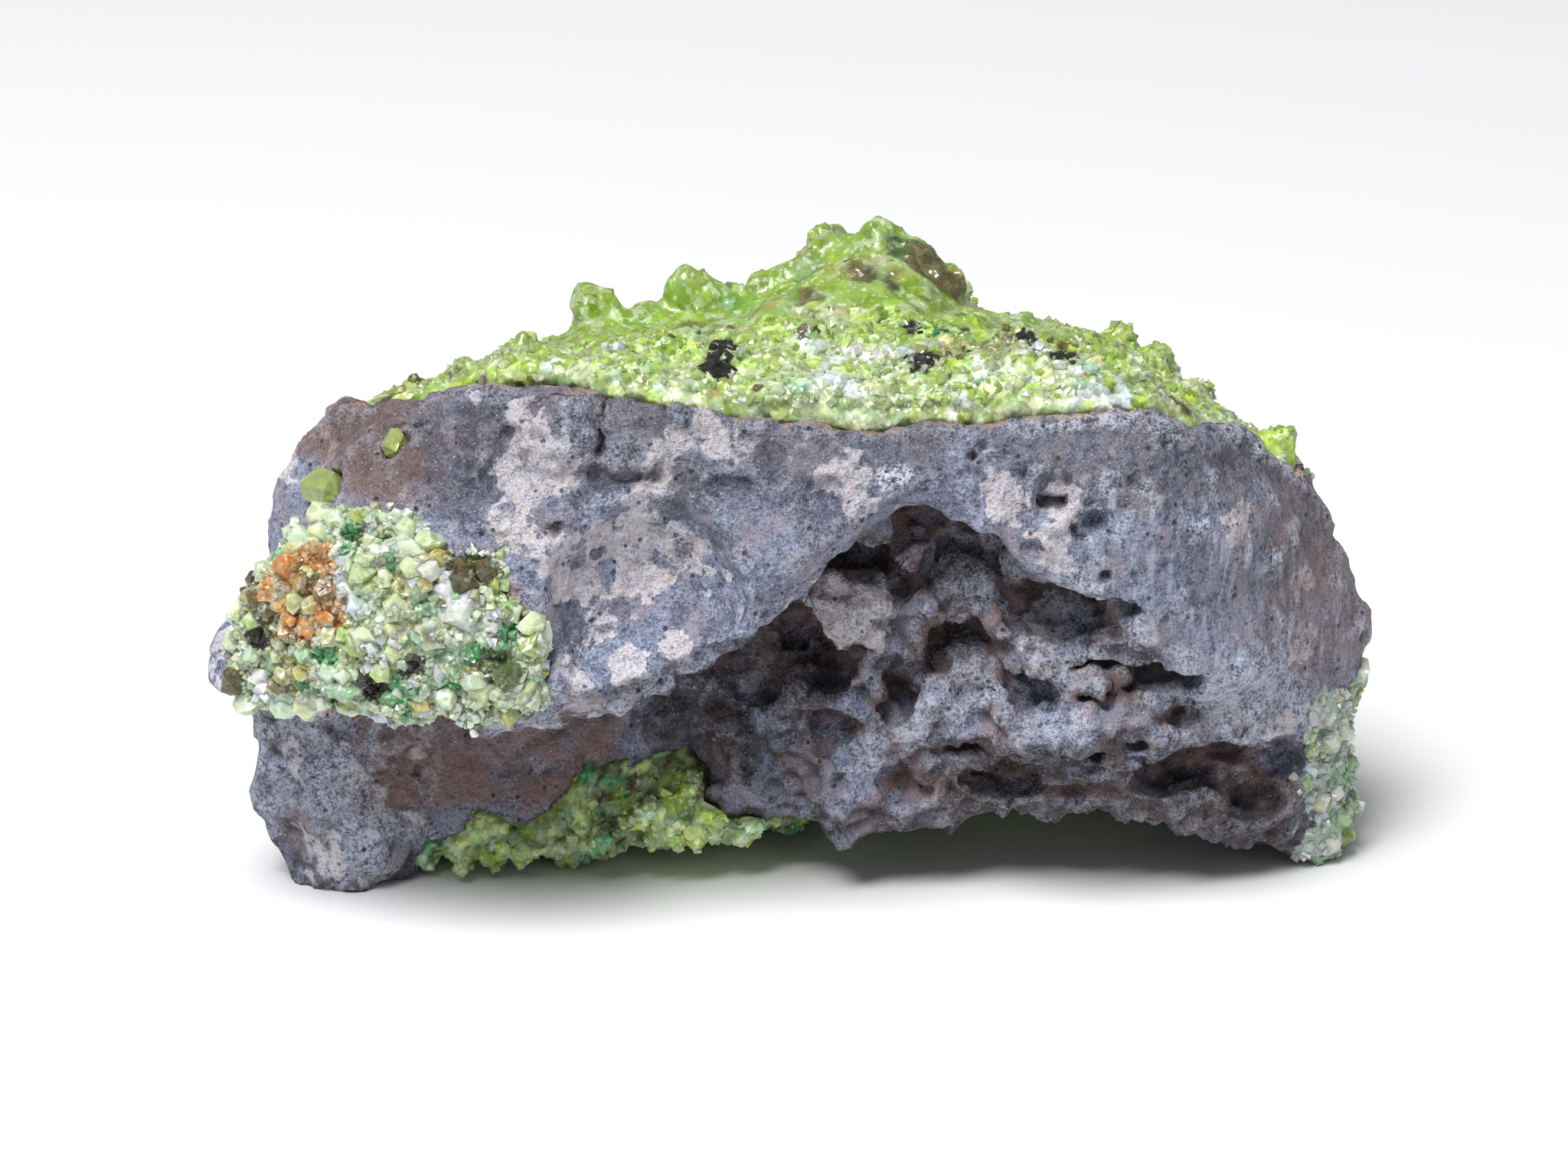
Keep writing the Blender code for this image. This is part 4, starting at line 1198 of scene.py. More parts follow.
    def _sink_pits(self) -> np.ndarray:
        """Sinks the named holes.

        Returns:
            How far each point went down, in millimetres.
        """
        depth = np.zeros(len(self.skin.points))
        for x, y, z, radius in self.pits:
            away = np.linalg.norm(self.skin.points - np.array([x, y, z]), axis=1)
            depth = np.maximum(depth, 1.8 * radius * smooth_step(1.15 * radius, 0.45 * radius, away))
        return depth

    def _nearness(self, spots: tuple[tuple[float, ...], ...], fray: float, deep: float = 1.0) -> np.ndarray:
        """How far inside the nearest of some round spots each point is, from 0 to 1, with frayed edges.

        Args:
            spots: Centres and radii.
            fray: How much noise moves the edge, as a share of the radius.
            deep: The share of a distance from front to back that counts.

        Returns:
            N shares.
        """
        edge = fray * layered_noise(self.skin.points, 0.9, 3, 61)
        inside = np.zeros(len(self.skin.points))
        for x, y, z, radius in spots:
            away = (self.skin.points - np.array([x, y, z])) * np.array([1.0, deep, 1.0])
            inside = np.maximum(inside, smooth_step(1.15, 0.85, np.linalg.norm(away, axis=1) / radius + edge))
        return inside

    def _creased(self) -> np.ndarray:
        """How near each point is to one of the creases, from 0 to 1, with frayed edges."""
        nearest = np.full(len(self.skin.points), np.inf)
        for line in self.creases:
            for start, end in zip(np.array(line), np.array(line[1:])):
                away, along = self.skin.points - start, end - start
                share = np.clip(away @ along / (along @ along), 0.0, 1.0)
                nearest = np.minimum(nearest, np.linalg.norm(away - share[:, None] * along, axis=1))
        nearest += 0.5 * self.crease_width * layered_noise(self.skin.points, 0.8, 2, 63)
        return smooth_step(self.crease_width, 0.4 * self.crease_width, nearest)

    def _overhung(self, balls: Balls, low: float, high: float) -> np.ndarray:
        """How far up inside the wall of one of some hollows each point is, from 0 to 1.

        Args:
            balls: The hollows' centres and radii.
            low: Where the shade starts, as a share of the height radius over the centre.
            high: Where it is full.

        Returns:
            N shares.
        """
        shade = np.zeros(len(self.skin.points))
        for x, y, z, *radii in balls:
            local = (self.skin.points - np.array([x, y, z])) / np.array(radii)
            near = smooth_step(1.30, 1.08, np.linalg.norm(local, axis=1))
            shade = np.maximum(shade, near * smooth_step(low, high, local[:, 2]))
        return shade

    def _cave(self) -> np.ndarray:
        """How far each point is inside the recess under the ledge's lip, from 0 to 1."""
        x, y, z = self.skin.points.T
        lip = np.interp(x, *zip(*self.lip))
        return smooth_step(0.1, 1.3, lip - z) * (y < 2.0)

    def shape(self, olivine: np.ndarray) -> None:
        """Works the skin: waves of noise, chipped edges, small pits and the named holes.

        Args:
            olivine: Points of the olivine pieces in millimetres, up to which the rind is swelled.
        """
        skin = self.skin
        height = np.zeros(len(skin.points))
        for k, (wavelength, amount) in enumerate(self.waves):
            height += amount * layered_noise(skin.points, wavelength, 1, 3 + k)
        edge = smooth_step(0.05, 0.30, skin.relief(40))
        height += self.chipped * edge * (layered_noise(skin.points, 1.0, 2, 41) - 0.25)
        cave = self._cave()
        rough = cave * (0.3 + 0.7 * smooth_step(-9.0, -6.0, skin.points[:, 0]))
        for k, (wavelength, amount) in enumerate(self.crumbled):
            torn = 0.4 - 1.6 * np.abs(layered_noise(skin.points, wavelength, 1, 43 + k))
            height += rough * amount * torn
        flat = skin.points * np.array([0.32, 0.5, 1.0])
        beds = cave * smooth_step(4.0, 9.0, skin.points[:, 0]) * smooth_step(13.5, 11.0, skin.points[:, 2])
        height += self.layered * beds * layered_noise(flat, 1.1, 2, 47)
        height += self._nearness(self.coats, 0.5, 0.5) * domes(skin, 0.8, 0.26, 49)
        seam = skin.averaged(crowded(skin.points, olivine, 0.5).astype(float), 3)
        height += 0.42 * smooth_step(0.0, 0.4, seam) * (skin.points[:, 2] > 12.0)
        height -= self.crease_depth * self._creased()
        self.depth = pocks(skin, 2.1, (0.18, 0.60), 0.22, 11) + pocks(skin, 1.0, (0.10, 0.28), 0.25, 13)
        holes = self._sink_pits()
        height -= self.depth + holes
        skin.shift(np.where(height < 0.0, height * (1.0 - 0.9 * skin.thinned(0.55)), height))
        self.depth += 2.0 * holes
        skin.keep_in_box()

    def paint(self, olivine: np.ndarray) -> None:
        """Paints the coat with painted light, the blotches, brown with painted shade, painted shade in recesses, dust
        with painted highlights, and the rusty seam.

        Args:
            olivine: Points of the olivine pieces in millimetres.
        """
        skin = self.skin
        x, y, z = skin.points.T
        n_z = skin.normals[:, 2]
        cave = self._cave()
        far = layered_noise(skin.points, 2.6, 3, 71)
        near = layered_noise(skin.points, 1.3, 3, 81)
        relief = skin.relief(30)
        marked = self._nearness(self.blotches, 0.5, 0.5)
        left = smooth_step(2.0, -4.0, x)
        # The coat, partly painted light on faces in shade. It is dimmed in the cave as painted shade, except at the lit
        # spots.
        coat_and_light = np.maximum(0.9 * self._nearness(self.coats, 0.5, 0.5), (0.2 + 0.5 * left) * smooth_step(0.2, 0.8, far))
        lit = self._nearness(self.lit, 0.6, 0.6)
        coat_and_light *= (1.0 - marked) * (1.0 - 0.5 * cave * (1.0 - lit))
        blotch = np.maximum(0.9 * marked, 0.7 * smooth_step(0.45, 0.85, near))
        # Painted shade on the faces in the cave that look down.
        under = smooth_step(0.25, -0.45, n_z) * cave
        # Brown under the ledge, in the cave and in the hollows: partly the rock's own colour, partly painted shade.
        wall = cave * smooth_step(-8.0, -10.0, x) * smooth_step(-23.0, -19.5, x + 1.5 * near) * smooth_step(3.4, 4.4, z)
        wall *= 0.55 + 0.45 * smooth_step(-0.5, 0.3, layered_noise(skin.points, 1.8, 3, 77))
        brown_and_shade = np.maximum(wall, 0.55 * cave * smooth_step(0.1, 0.7, layered_noise(skin.points, 2.4, 2, 75)))
        shade = self._overhung(self.hollows[1:], -0.25, 0.55) * cave
        brown_and_shade = np.maximum(brown_and_shade, self._overhung(self.hollows, -0.8, -0.1) * cave)
        brown_and_shade = np.maximum(brown_and_shade, 0.5 * smooth_step(21.0, 24.0, x + near) * smooth_step(9.0, 12.0, z))
        # Painted shade on those faces and in the pits and holes.
        painted_shade = np.maximum(under, smooth_step(0.15, 0.9, self.depth))
        painted_shade = np.maximum(painted_shade, np.maximum(0.92 * shade, 0.95 * self._nearness(self.shades, 0.5, 0.7)))
        # Less painted shade and brown where painted light is spotted.
        painted_shade *= 1.0 - 0.85 * lit
        brown_and_shade *= 1.0 - 0.7 * lit
        # Painted shade in the upper walls of the dents outside the cave.
        painted_shade = np.maximum(painted_shade, 0.85 * self._overhung(self.dents[2:5] + self.dents[6:], 0.2, 0.72) * (1.0 - cave))
        # Painted shadow along the creases.
        painted_shade = np.maximum(painted_shade, 0.8 * self._creased())
        moss = smooth_step(24.6, 25.6, x + 0.6 * near) * smooth_step(10.0, 8.8, z + 0.6 * near) * (y < 3.0)
        brown_and_shade = np.maximum(brown_and_shade, 0.8 * smooth_step(-17.0, -19.0, x + near) * smooth_step(21.4, 22.4, z))
        # Painted shade, darker towards the top of the rind and on its upper right, outside the cave.
        top = 0.60 * smooth_step(20.8, 23.4, z) + 0.12 * smooth_step(21.0, 23.0, x) + 0.22 * smooth_step(11.0, 14.0, x) * smooth_step(14.0, 17.0, z)
        painted_shade = np.maximum(painted_shade, np.minimum(top, 0.60) * (1.0 - cave) * (1.0 - 0.7 * coat_and_light))
        # The right part of the face, where dust and painted highlights on edges are stronger and streaks are drawn.
        bright = smooth_step(9.0, 13.0, x) * smooth_step(9.0, 12.0, z)
        # Dust and painted highlights on raised edges.
        dust_and_light = (0.25 + 0.45 * bright) * smooth_step(0.04, 0.22, relief) * smooth_step(-0.3, 0.4, near + 0.2)
        # Specks, and painted light at the lit spots where there is no coat.
        dust_and_light = np.maximum(dust_and_light, np.maximum(self._nearness(self.specks, 0.2, 0.5), 0.62 * lit * (1.0 - coat_and_light)))
        streak = bright * smooth_step(0.3, -0.2, n_z) * (1.0 - cave)
        seam = crowded(skin.points, olivine, self.rust_reach) & (z > 10.0)
        rust = 0.8 * skin.averaged(seam.astype(float), 1) * smooth_step(-0.5, 0.3, near)
        for name, values in (
            ("coat_and_light", coat_and_light), ("blotch", blotch), ("brown_and_shade", brown_and_shade), ("painted_shade", painted_shade), ("dust_and_light", dust_and_light),
            ("streak", streak), ("rust", rust), ("moss", moss),
        ):
            skin.paint(name, np.clip(values, 0.0, 1.0))
        skin.finish(self.finish.material(), "basalt")


@dataclass
class Zone:
    """A part of the olivine nodule with its own blend of minerals and size of grain."""

    blend: Blend
    stub: tuple[float, float]
    chip: tuple[float, float]


@dataclass
class PeridotNodule:
    """The granular olivine nodule: a skin of crystal faces, with loose grains set over what shows."""

    grain: float = 0.26
    waves: tuple[tuple[float, float], ...] = ((2.6, 0.16),)
    lumps: Balls = (
        (-10.16, 2.8, 27.8, 1.0, 1.1, 1.3), (-9.0, 2.8, 26.9, 1.1, 1.1, 0.95),
        (-7.3, 3.2, 27.0, 1.25, 1.2, 0.95), (-5.5, 3.8, 28.3, 0.9, 1.1, 1.4),
        (-4.2, 3.8, 27.9, 1.2, 1.1, 1.05), (-3.0, 3.8, 27.4, 0.8, 1.0, 0.8),
        (-1.84, 4.4, 28.3, 0.8, 1.0, 0.95), (-0.4, 4.6, 28.35, 1.15, 1.2, 1.3),
        (0.7, 5.0, 29.1, 0.95, 1.1, 1.15), (1.12, 5.4, 30.7, 0.75, 0.75, 0.75),
        (1.10, 5.4, 29.8, 0.58, 0.6, 0.75), (3.8, 5.6, 30.15, 1.3, 1.3, 1.4),
        (2.9, 5.6, 29.3, 1.2, 1.2, 1.1), (5.4, 5.6, 29.3, 1.3, 1.2, 1.1),
        (6.6, 5.6, 28.4, 1.1, 1.1, 1.1),
    )
    notches: Balls = ((2.4, 7.4, 31.1, 0.60, 4.4, 1.15),)
    band: Zone = field(default_factory=lambda: Zone(
        ((Mineral.PALE, 0.42), (Mineral.PERIDOT, 0.21), (Mineral.LIME, 0.13), (Mineral.FROST, 0.10),
         (Mineral.MINT, 0.06), (Mineral.HONEY, 0.05), (Mineral.OLIVE_BROWN, 0.03)),
        (0.6, 1.2), (0.35, 0.75)))
    crest: Zone = field(default_factory=lambda: Zone(
        ((Mineral.LIME, 0.50), (Mineral.PERIDOT, 0.28), (Mineral.PALE, 0.07), (Mineral.HONEY, 0.06),
         (Mineral.OLIVE_BROWN, 0.06), (Mineral.MOSS, 0.03)),
        (0.9, 1.7), (0.4, 0.9)))
    foot: Zone = field(default_factory=lambda: Zone(
        ((Mineral.PALE, 0.28), (Mineral.PERIDOT, 0.26), (Mineral.LIME, 0.14), (Mineral.MINT, 0.12),
         (Mineral.MOSS, 0.08), (Mineral.EMERALD, 0.06), (Mineral.OLIVE_BROWN, 0.06)),
        (0.6, 1.15), (0.35, 0.7)))
    back: Zone = field(default_factory=lambda: Zone(
        ((Mineral.PERIDOT, 0.34), (Mineral.LIME, 0.24), (Mineral.PALE, 0.14), (Mineral.HONEY, 0.08),
         (Mineral.OLIVE_BROWN, 0.06), (Mineral.EMERALD, 0.06), (Mineral.FROST, 0.05), (Mineral.SPINEL, 0.03)),
        (0.9, 1.8), (0.4, 0.8)))
    corner: Zone = field(default_factory=lambda: Zone(
        ((Mineral.PALE, 0.16), (Mineral.FROST, 0.48), (Mineral.MINT, 0.28), (Mineral.PERIDOT, 0.08)),
        (0.7, 1.4), (0.4, 0.8)))
    spots: tuple[Spot, ...] = (
        Spot(-3.4, -3.6, 28.0, 0.75, Mineral.SPINEL), Spot(-3.9, -5.6, 27.6, 0.95, Mineral.SPINEL),
        Spot(12.4, -2.2, 27.6, 1.2, Mineral.OLIVE_BROWN), Spot(12.8, -4.8, 27.8, 0.75, Mineral.SPINEL),
        Spot(11.0, -3.8, 28.2, 0.6, Mineral.SPINEL), Spot(5.8, -5.9, 27.9, 0.7, Mineral.SPINEL),
        Spot(3.3, 1.8, 29.7, 0.75, Mineral.OLIVE_BROWN), Spot(0.6, 0.5, 29.1, 0.7, Mineral.OLIVE_BROWN),
        Spot(0.2, 1.4, 29.4, 0.5, Mineral.OLIVE_BROWN), Spot(5.6, -2.4, 28.6, 0.5, Mineral.SPINEL),
        Spot(5.4, 4.6, 30.2, 1.3, Mineral.MOSS), Spot(6.6, 4.6, 29.2, 1.4, Mineral.OLIVE_BROWN),
        Spot(8.1, 5.0, 27.9, 0.9, Mineral.OLIVE_BROWN), Spot(0.1, -3.9, 28.5, 0.5, Mineral.OLIVE_BROWN),
        Spot(-6.1, -2.9, 28.0, 0.4, Mineral.OLIVE_BROWN), Spot(6.9, -2.7, 28.4, 0.6, Mineral.EMERALD),
        Spot(-3.5, 3.3, 27.7, 0.45, Mineral.EMERALD), Spot(1.1, -6.1, 27.4, 0.7, Mineral.FROST),
        Spot(2.2, -6.7, 27.2, 0.8, Mineral.FROST), Spot(-0.3, -7.2, 26.9, 0.6, Mineral.MINT),
        Spot(15.1, -4.9, 27.5, 0.9, Mineral.LIME), Spot(16.3, -4.0, 27.0, 0.8, Mineral.LIME),
        Spot(18.3, -5.4, 25.7, 0.5, Mineral.OLIVE_BROWN), Spot(23.4, -0.4, 22.2, 1.7, Mineral.LIME),
        Spot(24.4, -0.6, 21.0, 1.3, Mineral.LIME), Spot(-15.0, -5.2, 26.5, 0.8, Mineral.OLIVE_BROWN),
        Spot(-13.6, -5.6, 26.7, 0.5, Mineral.OLIVE_BROWN), Spot(-16.8, -4.8, 26.0, 0.7, Mineral.MOSS), Spot(-6.3, -4.0, 5.2, 1.2, Mineral.LIME),
    )
    deepened: tuple[float, float, float] = (0.60, 0.67, 0.42)
    finish: OlivineFinish = OlivineFinish("olivine_mass")
    loose: OlivineFinish = OlivineFinish("olivine_grains", clearness=0.35, facet=0.6, tilt=0.35)

    def start(self) -> "PeridotNodule":
        """Makes the even copy of the CAD node, for the rind to be measured against."""
        lumps = rough_balls(self.lumps, np.zeros(3), 0.07, 103)
        notch = bubble_solid(self.notches, np.zeros(3), 0.05)
        self.skin = RockSkin("nodule_surface", "peridot_nodule", self.grain, notch, lumps)
        self.skin.soften(2)
        return self

    def zones(self, points: np.ndarray) -> np.ndarray:
        """Sorts points into the band over the basalt 0, the crest 1, the foot 2 and the back 3."""
        x, y, z = points.T
        fray = 0.8 * layered_noise(points, 2.2, 2, 91)
        zone = np.full(len(points), 3)
        zone[(z > 14.0) & (y + fray < 8.5)] = 0
        zone[(z + fray > 26.0) & (y + fray < 8.5) & (y + fray > -1.2) & (x + 2.0 * fray > -13.0) & (x + 2.0 * fray < 13.0)] = 1
        zone[(z < 7.5) & (y < 2.5)] = 2
        zone[(z < 11.0) & (y < 2.5) & (x > 22.0)] = 4
        return zone

    def kinds(self, points: np.ndarray, numbers: np.ndarray) -> np.ndarray:
        """Chooses each point's mineral from its zone's blend, and from the spots."""
        zone = self.zones(points)
        numbers = drifted(points, clumped(points, numbers, 2.0, 0.7, 141), 3.2)
        made = np.zeros(len(points), int)
        for k, part in enumerate((self.band, self.crest, self.foot, self.back, self.corner)):
            made[zone == k] = minerals(numbers[zone == k], part.blend)
        x, y, z = points.T
        upper = (zone == 0) & (z > 24.0) & ((y > -4.2) | (x < -12.0))
        made[upper] = minerals(numbers[upper], self.crest.blend)
        return spotted(made, points, self.spots)

    def build(self, rind: RockSkin) -> None:
        """Works and paints the skin, and grows the loose grains.

        Args:
            rind: The rind, which hides what lies against it and carries some grains at its right end.
        """
        skin = self.skin
        height = sum(amount * layered_noise(skin.points, wave, 1, 5 + k) for k, (wave, amount) in enumerate(self.waves))
        zone = self.zones(skin.points)
        height = height + np.array([0.4, 0.15, 1.0, 1.0, 1.0])[zone] * facets(skin, 1.6, 0.40, 0.16, 0.26, 21)
        height += np.array([0.8, 0.08, 0.8, 0.8, 0.8])[zone] * facets(skin, 0.75, 0.4, 0.07, 0.12, 23)
        height += np.where(zone == 1, 1.0, 0.0) * domes(skin, 2.3, 0.32, 19)
        touching = skin.averaged(crowded(skin.points, rind.points, 0.3).astype(float), 6)
        hidden = touching > 0.9
        height *= 1.0 - 0.8 * smooth_step(0.05, 0.5, touching)
        skin.shift(np.where(hidden, np.minimum(height, 0.0), height))
        skin.keep_in_box()
        cells = cells_of(skin.points, 0.75, 23)
        kinds = self.kinds(cells.seed, cells.number(50))
        low = np.array([0.66, 0.80, 0.45, 0.45, 0.55])[zone]
        # Darker between grains: dark joints, and painted shade in the grooves between them.
        joint_and_shade = low + (1.0 - low) * smooth_step(0.0, 0.22, cells.second - cells.nearest)
        tint = tints(kinds, cells.number(51), cells.number(52)) * joint_and_shade[:, None]
        glassy = skin.averaged((zone == 1).astype(float), 4)
        dark = [list(Mineral).index(kind) for kind in (Mineral.OLIVE_BROWN, Mineral.SPINEL, Mineral.MOSS)]
        glassy *= 1.0 - 0.8 * np.isin(kinds, dark)
        soft = np.stack([share * skin.averaged(tint[:, k], 1) for k, share in enumerate(self.deepened)], axis=1)
        # Painted light: the foot's colours made 1.6 times lighter, since it lies in shade.
        skin.paint("tint", (tint + glassy[:, None] * (soft - tint)) * np.where(zone == 2, 1.6, 1.0)[:, None])
        skin.paint("glassy", glassy)
        skin.finish(self.finish.material(), "olivine")
        shows = touching < np.where(zone == 4, 0.95, 0.2)
        material = self.loose.material()
        x, _, z = rind.points.T
        ragged = layered_noise(rind.points, 1.4, 2, 97)
        corner = (x + ragged > 24.7) & (z + ragged < 9.8) & (rind.normals[:, 1] < 0.3) & (z > 0.3)
        chance = np.random.default_rng(SEED)
        for name, shape, size, salt, sunk in (
            ("nodule_crystals", STUB, 1.5, 27, 0.42), ("nodule_chips", CHIP, 0.58, 29, 0.32),
        ):
            self._scatter(name, shape, size, salt, sunk, ((skin, shows), (rind, corner)), material, chance)

    def _scatter(self, name: str, shape: GrainShape, spacing: float, salt: int, sunk: float,
                 grounds: tuple[tuple[RockSkin, np.ndarray], ...], material: bpy.types.Material,
                 chance: np.random.Generator) -> None:
        """Sets one crystal in each lattice cell that a skin passes through.

        Args:
            name: The new piece's name.
            shape: The crystals' shape.
            spacing: A cell's side in millimetres.
            salt: Chooses an independent set.
            sunk: How far a crystal's middle lies under the skin, as a share of its size.
            grounds: The skins, and which of their points can carry one.
            material: The finish.
            chance: Where the shapes' errors come from.
        """
        grains = GrainField(name, shape)
        parts = (self.band, self.crest, self.foot, self.back, self.corner)
        kept = np.array([0.7, 0.04, 1.0, 0.8, 1.0] if shape is STUB else [1.0, 0.06, 1.0, 0.8, 1.0])
        for skin, shows in grounds:
            cells = cells_of(skin.points, spacing, salt)
            picked = one_per_cell(cells)
            picked = picked[shows[picked]]
            picked = picked[cells.number(salt + 64)[picked] < kept[self.zones(skin.points[picked])]]
            points, normals = skin.points[picked], skin.normals[picked]
            number = cells.number(salt + 60)[picked]
            spans = np.array([part.stub if shape is STUB else part.chip for part in parts])[self.zones(points)]
            sizes = spans[:, 0] + (spans[:, 1] - spans[:, 0]) * number**1.5
            kinds = self.kinds(points, cells.number(salt + 61)[picked])
            colours = tints(kinds, cells.number(salt + 62)[picked], cells.number(salt + 63)[picked])
            frames = frames_on(normals, 0.8, chance)
            # Painted light: the foot's grains made 1.5 times lighter, since they lie in shade.
            colours = colours * np.where(self.zones(points) == 2, 1.5, 1.0)[:, None]
            deep = sunk if skin is self.skin else 0.15
            grains.grow(points - normals * (deep * sizes)[:, None], frames, sizes, colours, chance)
        grains.finish(material, "olivine")


@dataclass
class PeridotPatch:
    """The olivine patch on the ledge: a sugary mass of small pale and green grains."""

    grain: float = 0.2
    blend: Blend = (
        (Mineral.SUGAR, 0.32), (Mineral.PALE, 0.25), (Mineral.FROST, 0.07), (Mineral.PERIDOT, 0.11),
        (Mineral.HONEY, 0.08), (Mineral.MINT, 0.10), (Mineral.EMERALD, 0.02), (Mineral.OLIVE_BROWN, 0.05),
    )
    stains: tuple[tuple[float, ...], ...] = (
        (-22.8, -11.4, 19.7, 0.9), (-23.9, -11.2, 18.6, 1.2), (-22.5, -11.9, 17.4, 1.2), (-24.0, -11.1, 17.3, 1.2),
        (-25.2, -10.0, 18.0, 0.9), (-23.2, -11.6, 16.6, 0.8), (-22.6, -11.2, 20.6, 0.6),
    )
    stain: tuple[float, float, float] = (0.56, 0.225, 0.045)
    large: tuple[Spot, ...] = (
        Spot(-16.0, -13.2, 18.1, 1.7, Mineral.FROST), Spot(-25.9, -9.6, 16.0, 0.8, Mineral.PERIDOT),
        Spot(-18.8, -13.4, 18.0, 0.95, Mineral.PALE), Spot(-20.4, -13.1, 16.6, 0.9, Mineral.SUGAR),
        Spot(-18.3, -12.7, 19.8, 0.75, Mineral.PALE), Spot(-14.2, -11.1, 18.9, 0.8, Mineral.PALE),
        Spot(-19.1, -13.4, 16.0, 0.8, Mineral.PERIDOT), Spot(-19.8, -13.1, 14.8, 0.8, Mineral.PERIDOT),
        Spot(-17.1, -13.2, 14.9, 0.8, Mineral.FROST), Spot(-12.9, -12.7, 16.2, 0.6, Mineral.HONEY),
        Spot(-15.0, -13.4, 13.8, 0.9, Mineral.PALE), Spot(-24.6, -10.2, 14.6, 0.8, Mineral.PALE),
        Spot(-18.0, -13.3, 13.2, 0.7, Mineral.HONEY), Spot(-17.4, -12.2, 20.9, 0.7, Mineral.PALE),
    )
    outline: tuple[tuple[float, float], ...] = (
        (-25.5, 19.0), (-23.3, 20.4), (-21.5, 21.4), (-19.3, 21.8), (-17.6, 21.3), (-16.0, 20.2), (-13.8, 20.0),
        (-13.5, 18.1), (-12.5, 17.2), (-11.7, 15.8), (-12.7, 14.7), (-12.8, 13.2), (-13.6, 11.9), (-16.1, 12.1),
        (-18.5, 12.2), (-21.2, 12.0), (-24.4, 11.8), (-26.4, 11.7), (-27.1, 12.7), (-27.3, 14.6), (-26.4, 16.0),
        (-26.0, 17.7),
    )
    spots: tuple[Spot, ...] = (
        Spot(-24.1, -10.6, 19.9, 0.9, Mineral.PALE), Spot(-25.7, -9.9, 15.3, 0.6, Mineral.SPINEL),
        Spot(-16.6, -12.8, 19.8, 0.6, Mineral.FROST), Spot(-15.6, -12.2, 19.7, 1.1, Mineral.OLIVE_BROWN),
        Spot(-20.9, -10.2, 20.4, 0.6, Mineral.EMERALD), Spot(-22.2, -12.2, 15.0, 0.7, Mineral.EMERALD),
        Spot(-13.8, -13.1, 16.5, 0.6, Mineral.EMERALD), Spot(-15.4, -13.5, 15.7, 0.5, Mineral.EMERALD),
        Spot(-17.5, -13.3, 18.4, 0.7, Mineral.MINT), Spot(-16.4, -13.2, 14.0, 0.5, Mineral.EMERALD),
        Spot(-19.3, -12.5, 20.0, 0.4, Mineral.EMERALD), Spot(-23.5, -11.2, 13.3, 0.5, Mineral.EMERALD),
        Spot(-14.2, -13.4, 15.1, 0.95, Mineral.MOSS), Spot(-20.1, -12.9, 13.8, 0.85, Mineral.SPINEL),
        Spot(-18.0, -13.4, 15.1, 0.45, Mineral.SPINEL), Spot(-21.2, -11.5, 12.4, 0.4, Mineral.HONEY),
    )
    finish: OlivineFinish = OlivineFinish("pale_olivine_mass", facet=0.4, glow=0.7)
    loose: OlivineFinish = OlivineFinish("pale_olivine_grains", clearness=0.2, facet=0.45, tilt=0.5, frost=0.5, glow=0.7)

    def start(self) -> "PeridotPatch":
        """Makes the even copy of the CAD node, for the rind to be measured against."""
        self.skin = RockSkin("patch_surface", "peridot_patch", self.grain)
        self.skin.soften(1)
        return self

    def kinds(self, points: np.ndarray, numbers: np.ndarray) -> np.ndarray:
        """Chooses each point's mineral from the blend and the spots."""
        made = minerals(clumped(points, numbers, 1.7, 0.7, 151), self.blend)
        return spotted(made, points, self.spots)

    def _stained(self, points: np.ndarray, colours: np.ndarray) -> np.ndarray:
        """Mixes the rusty stain into the grains near its places, with a frayed edge."""
        share = np.zeros(len(points))
        fray = 0.5 * layered_noise(points, 0.9, 3, 157)
        for x, y, z, reach in self.stains:
            away = np.linalg.norm(points - np.array([x, y, z]), axis=1) / reach
            share = np.maximum(share, smooth_step(1.45, 0.75, away + fray))
        share = (0.97 * share * smooth_step(-1.0, -0.2, layered_noise(points, 0.7, 2, 159)))[:, None]
        bright = colours.mean(axis=1, keepdims=True) / 0.42
        return colours * (1.0 - share) + share * np.array(self.stain) * (0.5 + 0.5 * bright)

    def build(self, rind: RockSkin) -> None:
        """Works and paints the skin, and grows the loose grains.

        Args:
            rind: The rind, which hides what lies against it and carries the grains at the patch's edge.
        """
        skin = self.skin
        hidden = crowded(skin.points, rind.points, 0.3) & (skin.normals[:, 1] > -0.2)
        height = facets(skin, 0.9, 0.5, 0.10, 0.16, 31) + facets(skin, 0.5, 0.4, 0.05, 0.06, 33)
        skin.shift(np.where(hidden, np.minimum(height, 0.0), height))
        cells = cells_of(skin.points, 0.8, 35)
        kinds = self.kinds(cells.seed, cells.number(50))
        skin.paint("tint", self._stained(skin.points, tints(kinds, cells.number(51), cells.number(52))))
        skin.finish(self.finish.material(), "pale_olivine")
        material = self.loose.material()
        chance = np.random.default_rng(SEED + 1)
        x, y, z = rind.points.T
        edge = inside(x, z, self.outline) & (y < -6.0) & (rind.normals[:, 1] - 0.5 * rind.normals[:, 2] < 0.0)
        for name, shape, spacing, salt, sizes in (
            ("patch_crystals", STUB, 1.15, 37, (0.7, 1.55)), ("patch_chips", CHIP, 0.39, 39, (0.32, 0.80)),
        ):
            grains = GrainField(name, shape)
            for ground, shows, sunk in ((skin, ~hidden, 0.30), (rind, edge, 0.02)):
                found = cells_of(ground.points, spacing, salt)
                picked = one_per_cell(found)
                picked = picked[shows[picked]]
                points, normals = ground.points[picked], ground.normals[picked]
                size = sizes[0] + (sizes[1] - sizes[0]) * found.number(salt + 60)[picked] ** 1.5
                kinds = self.kinds(points, found.number(salt + 61)[picked])
                colours = tints(kinds, found.number(salt + 62)[picked], found.number(salt + 63)[picked])
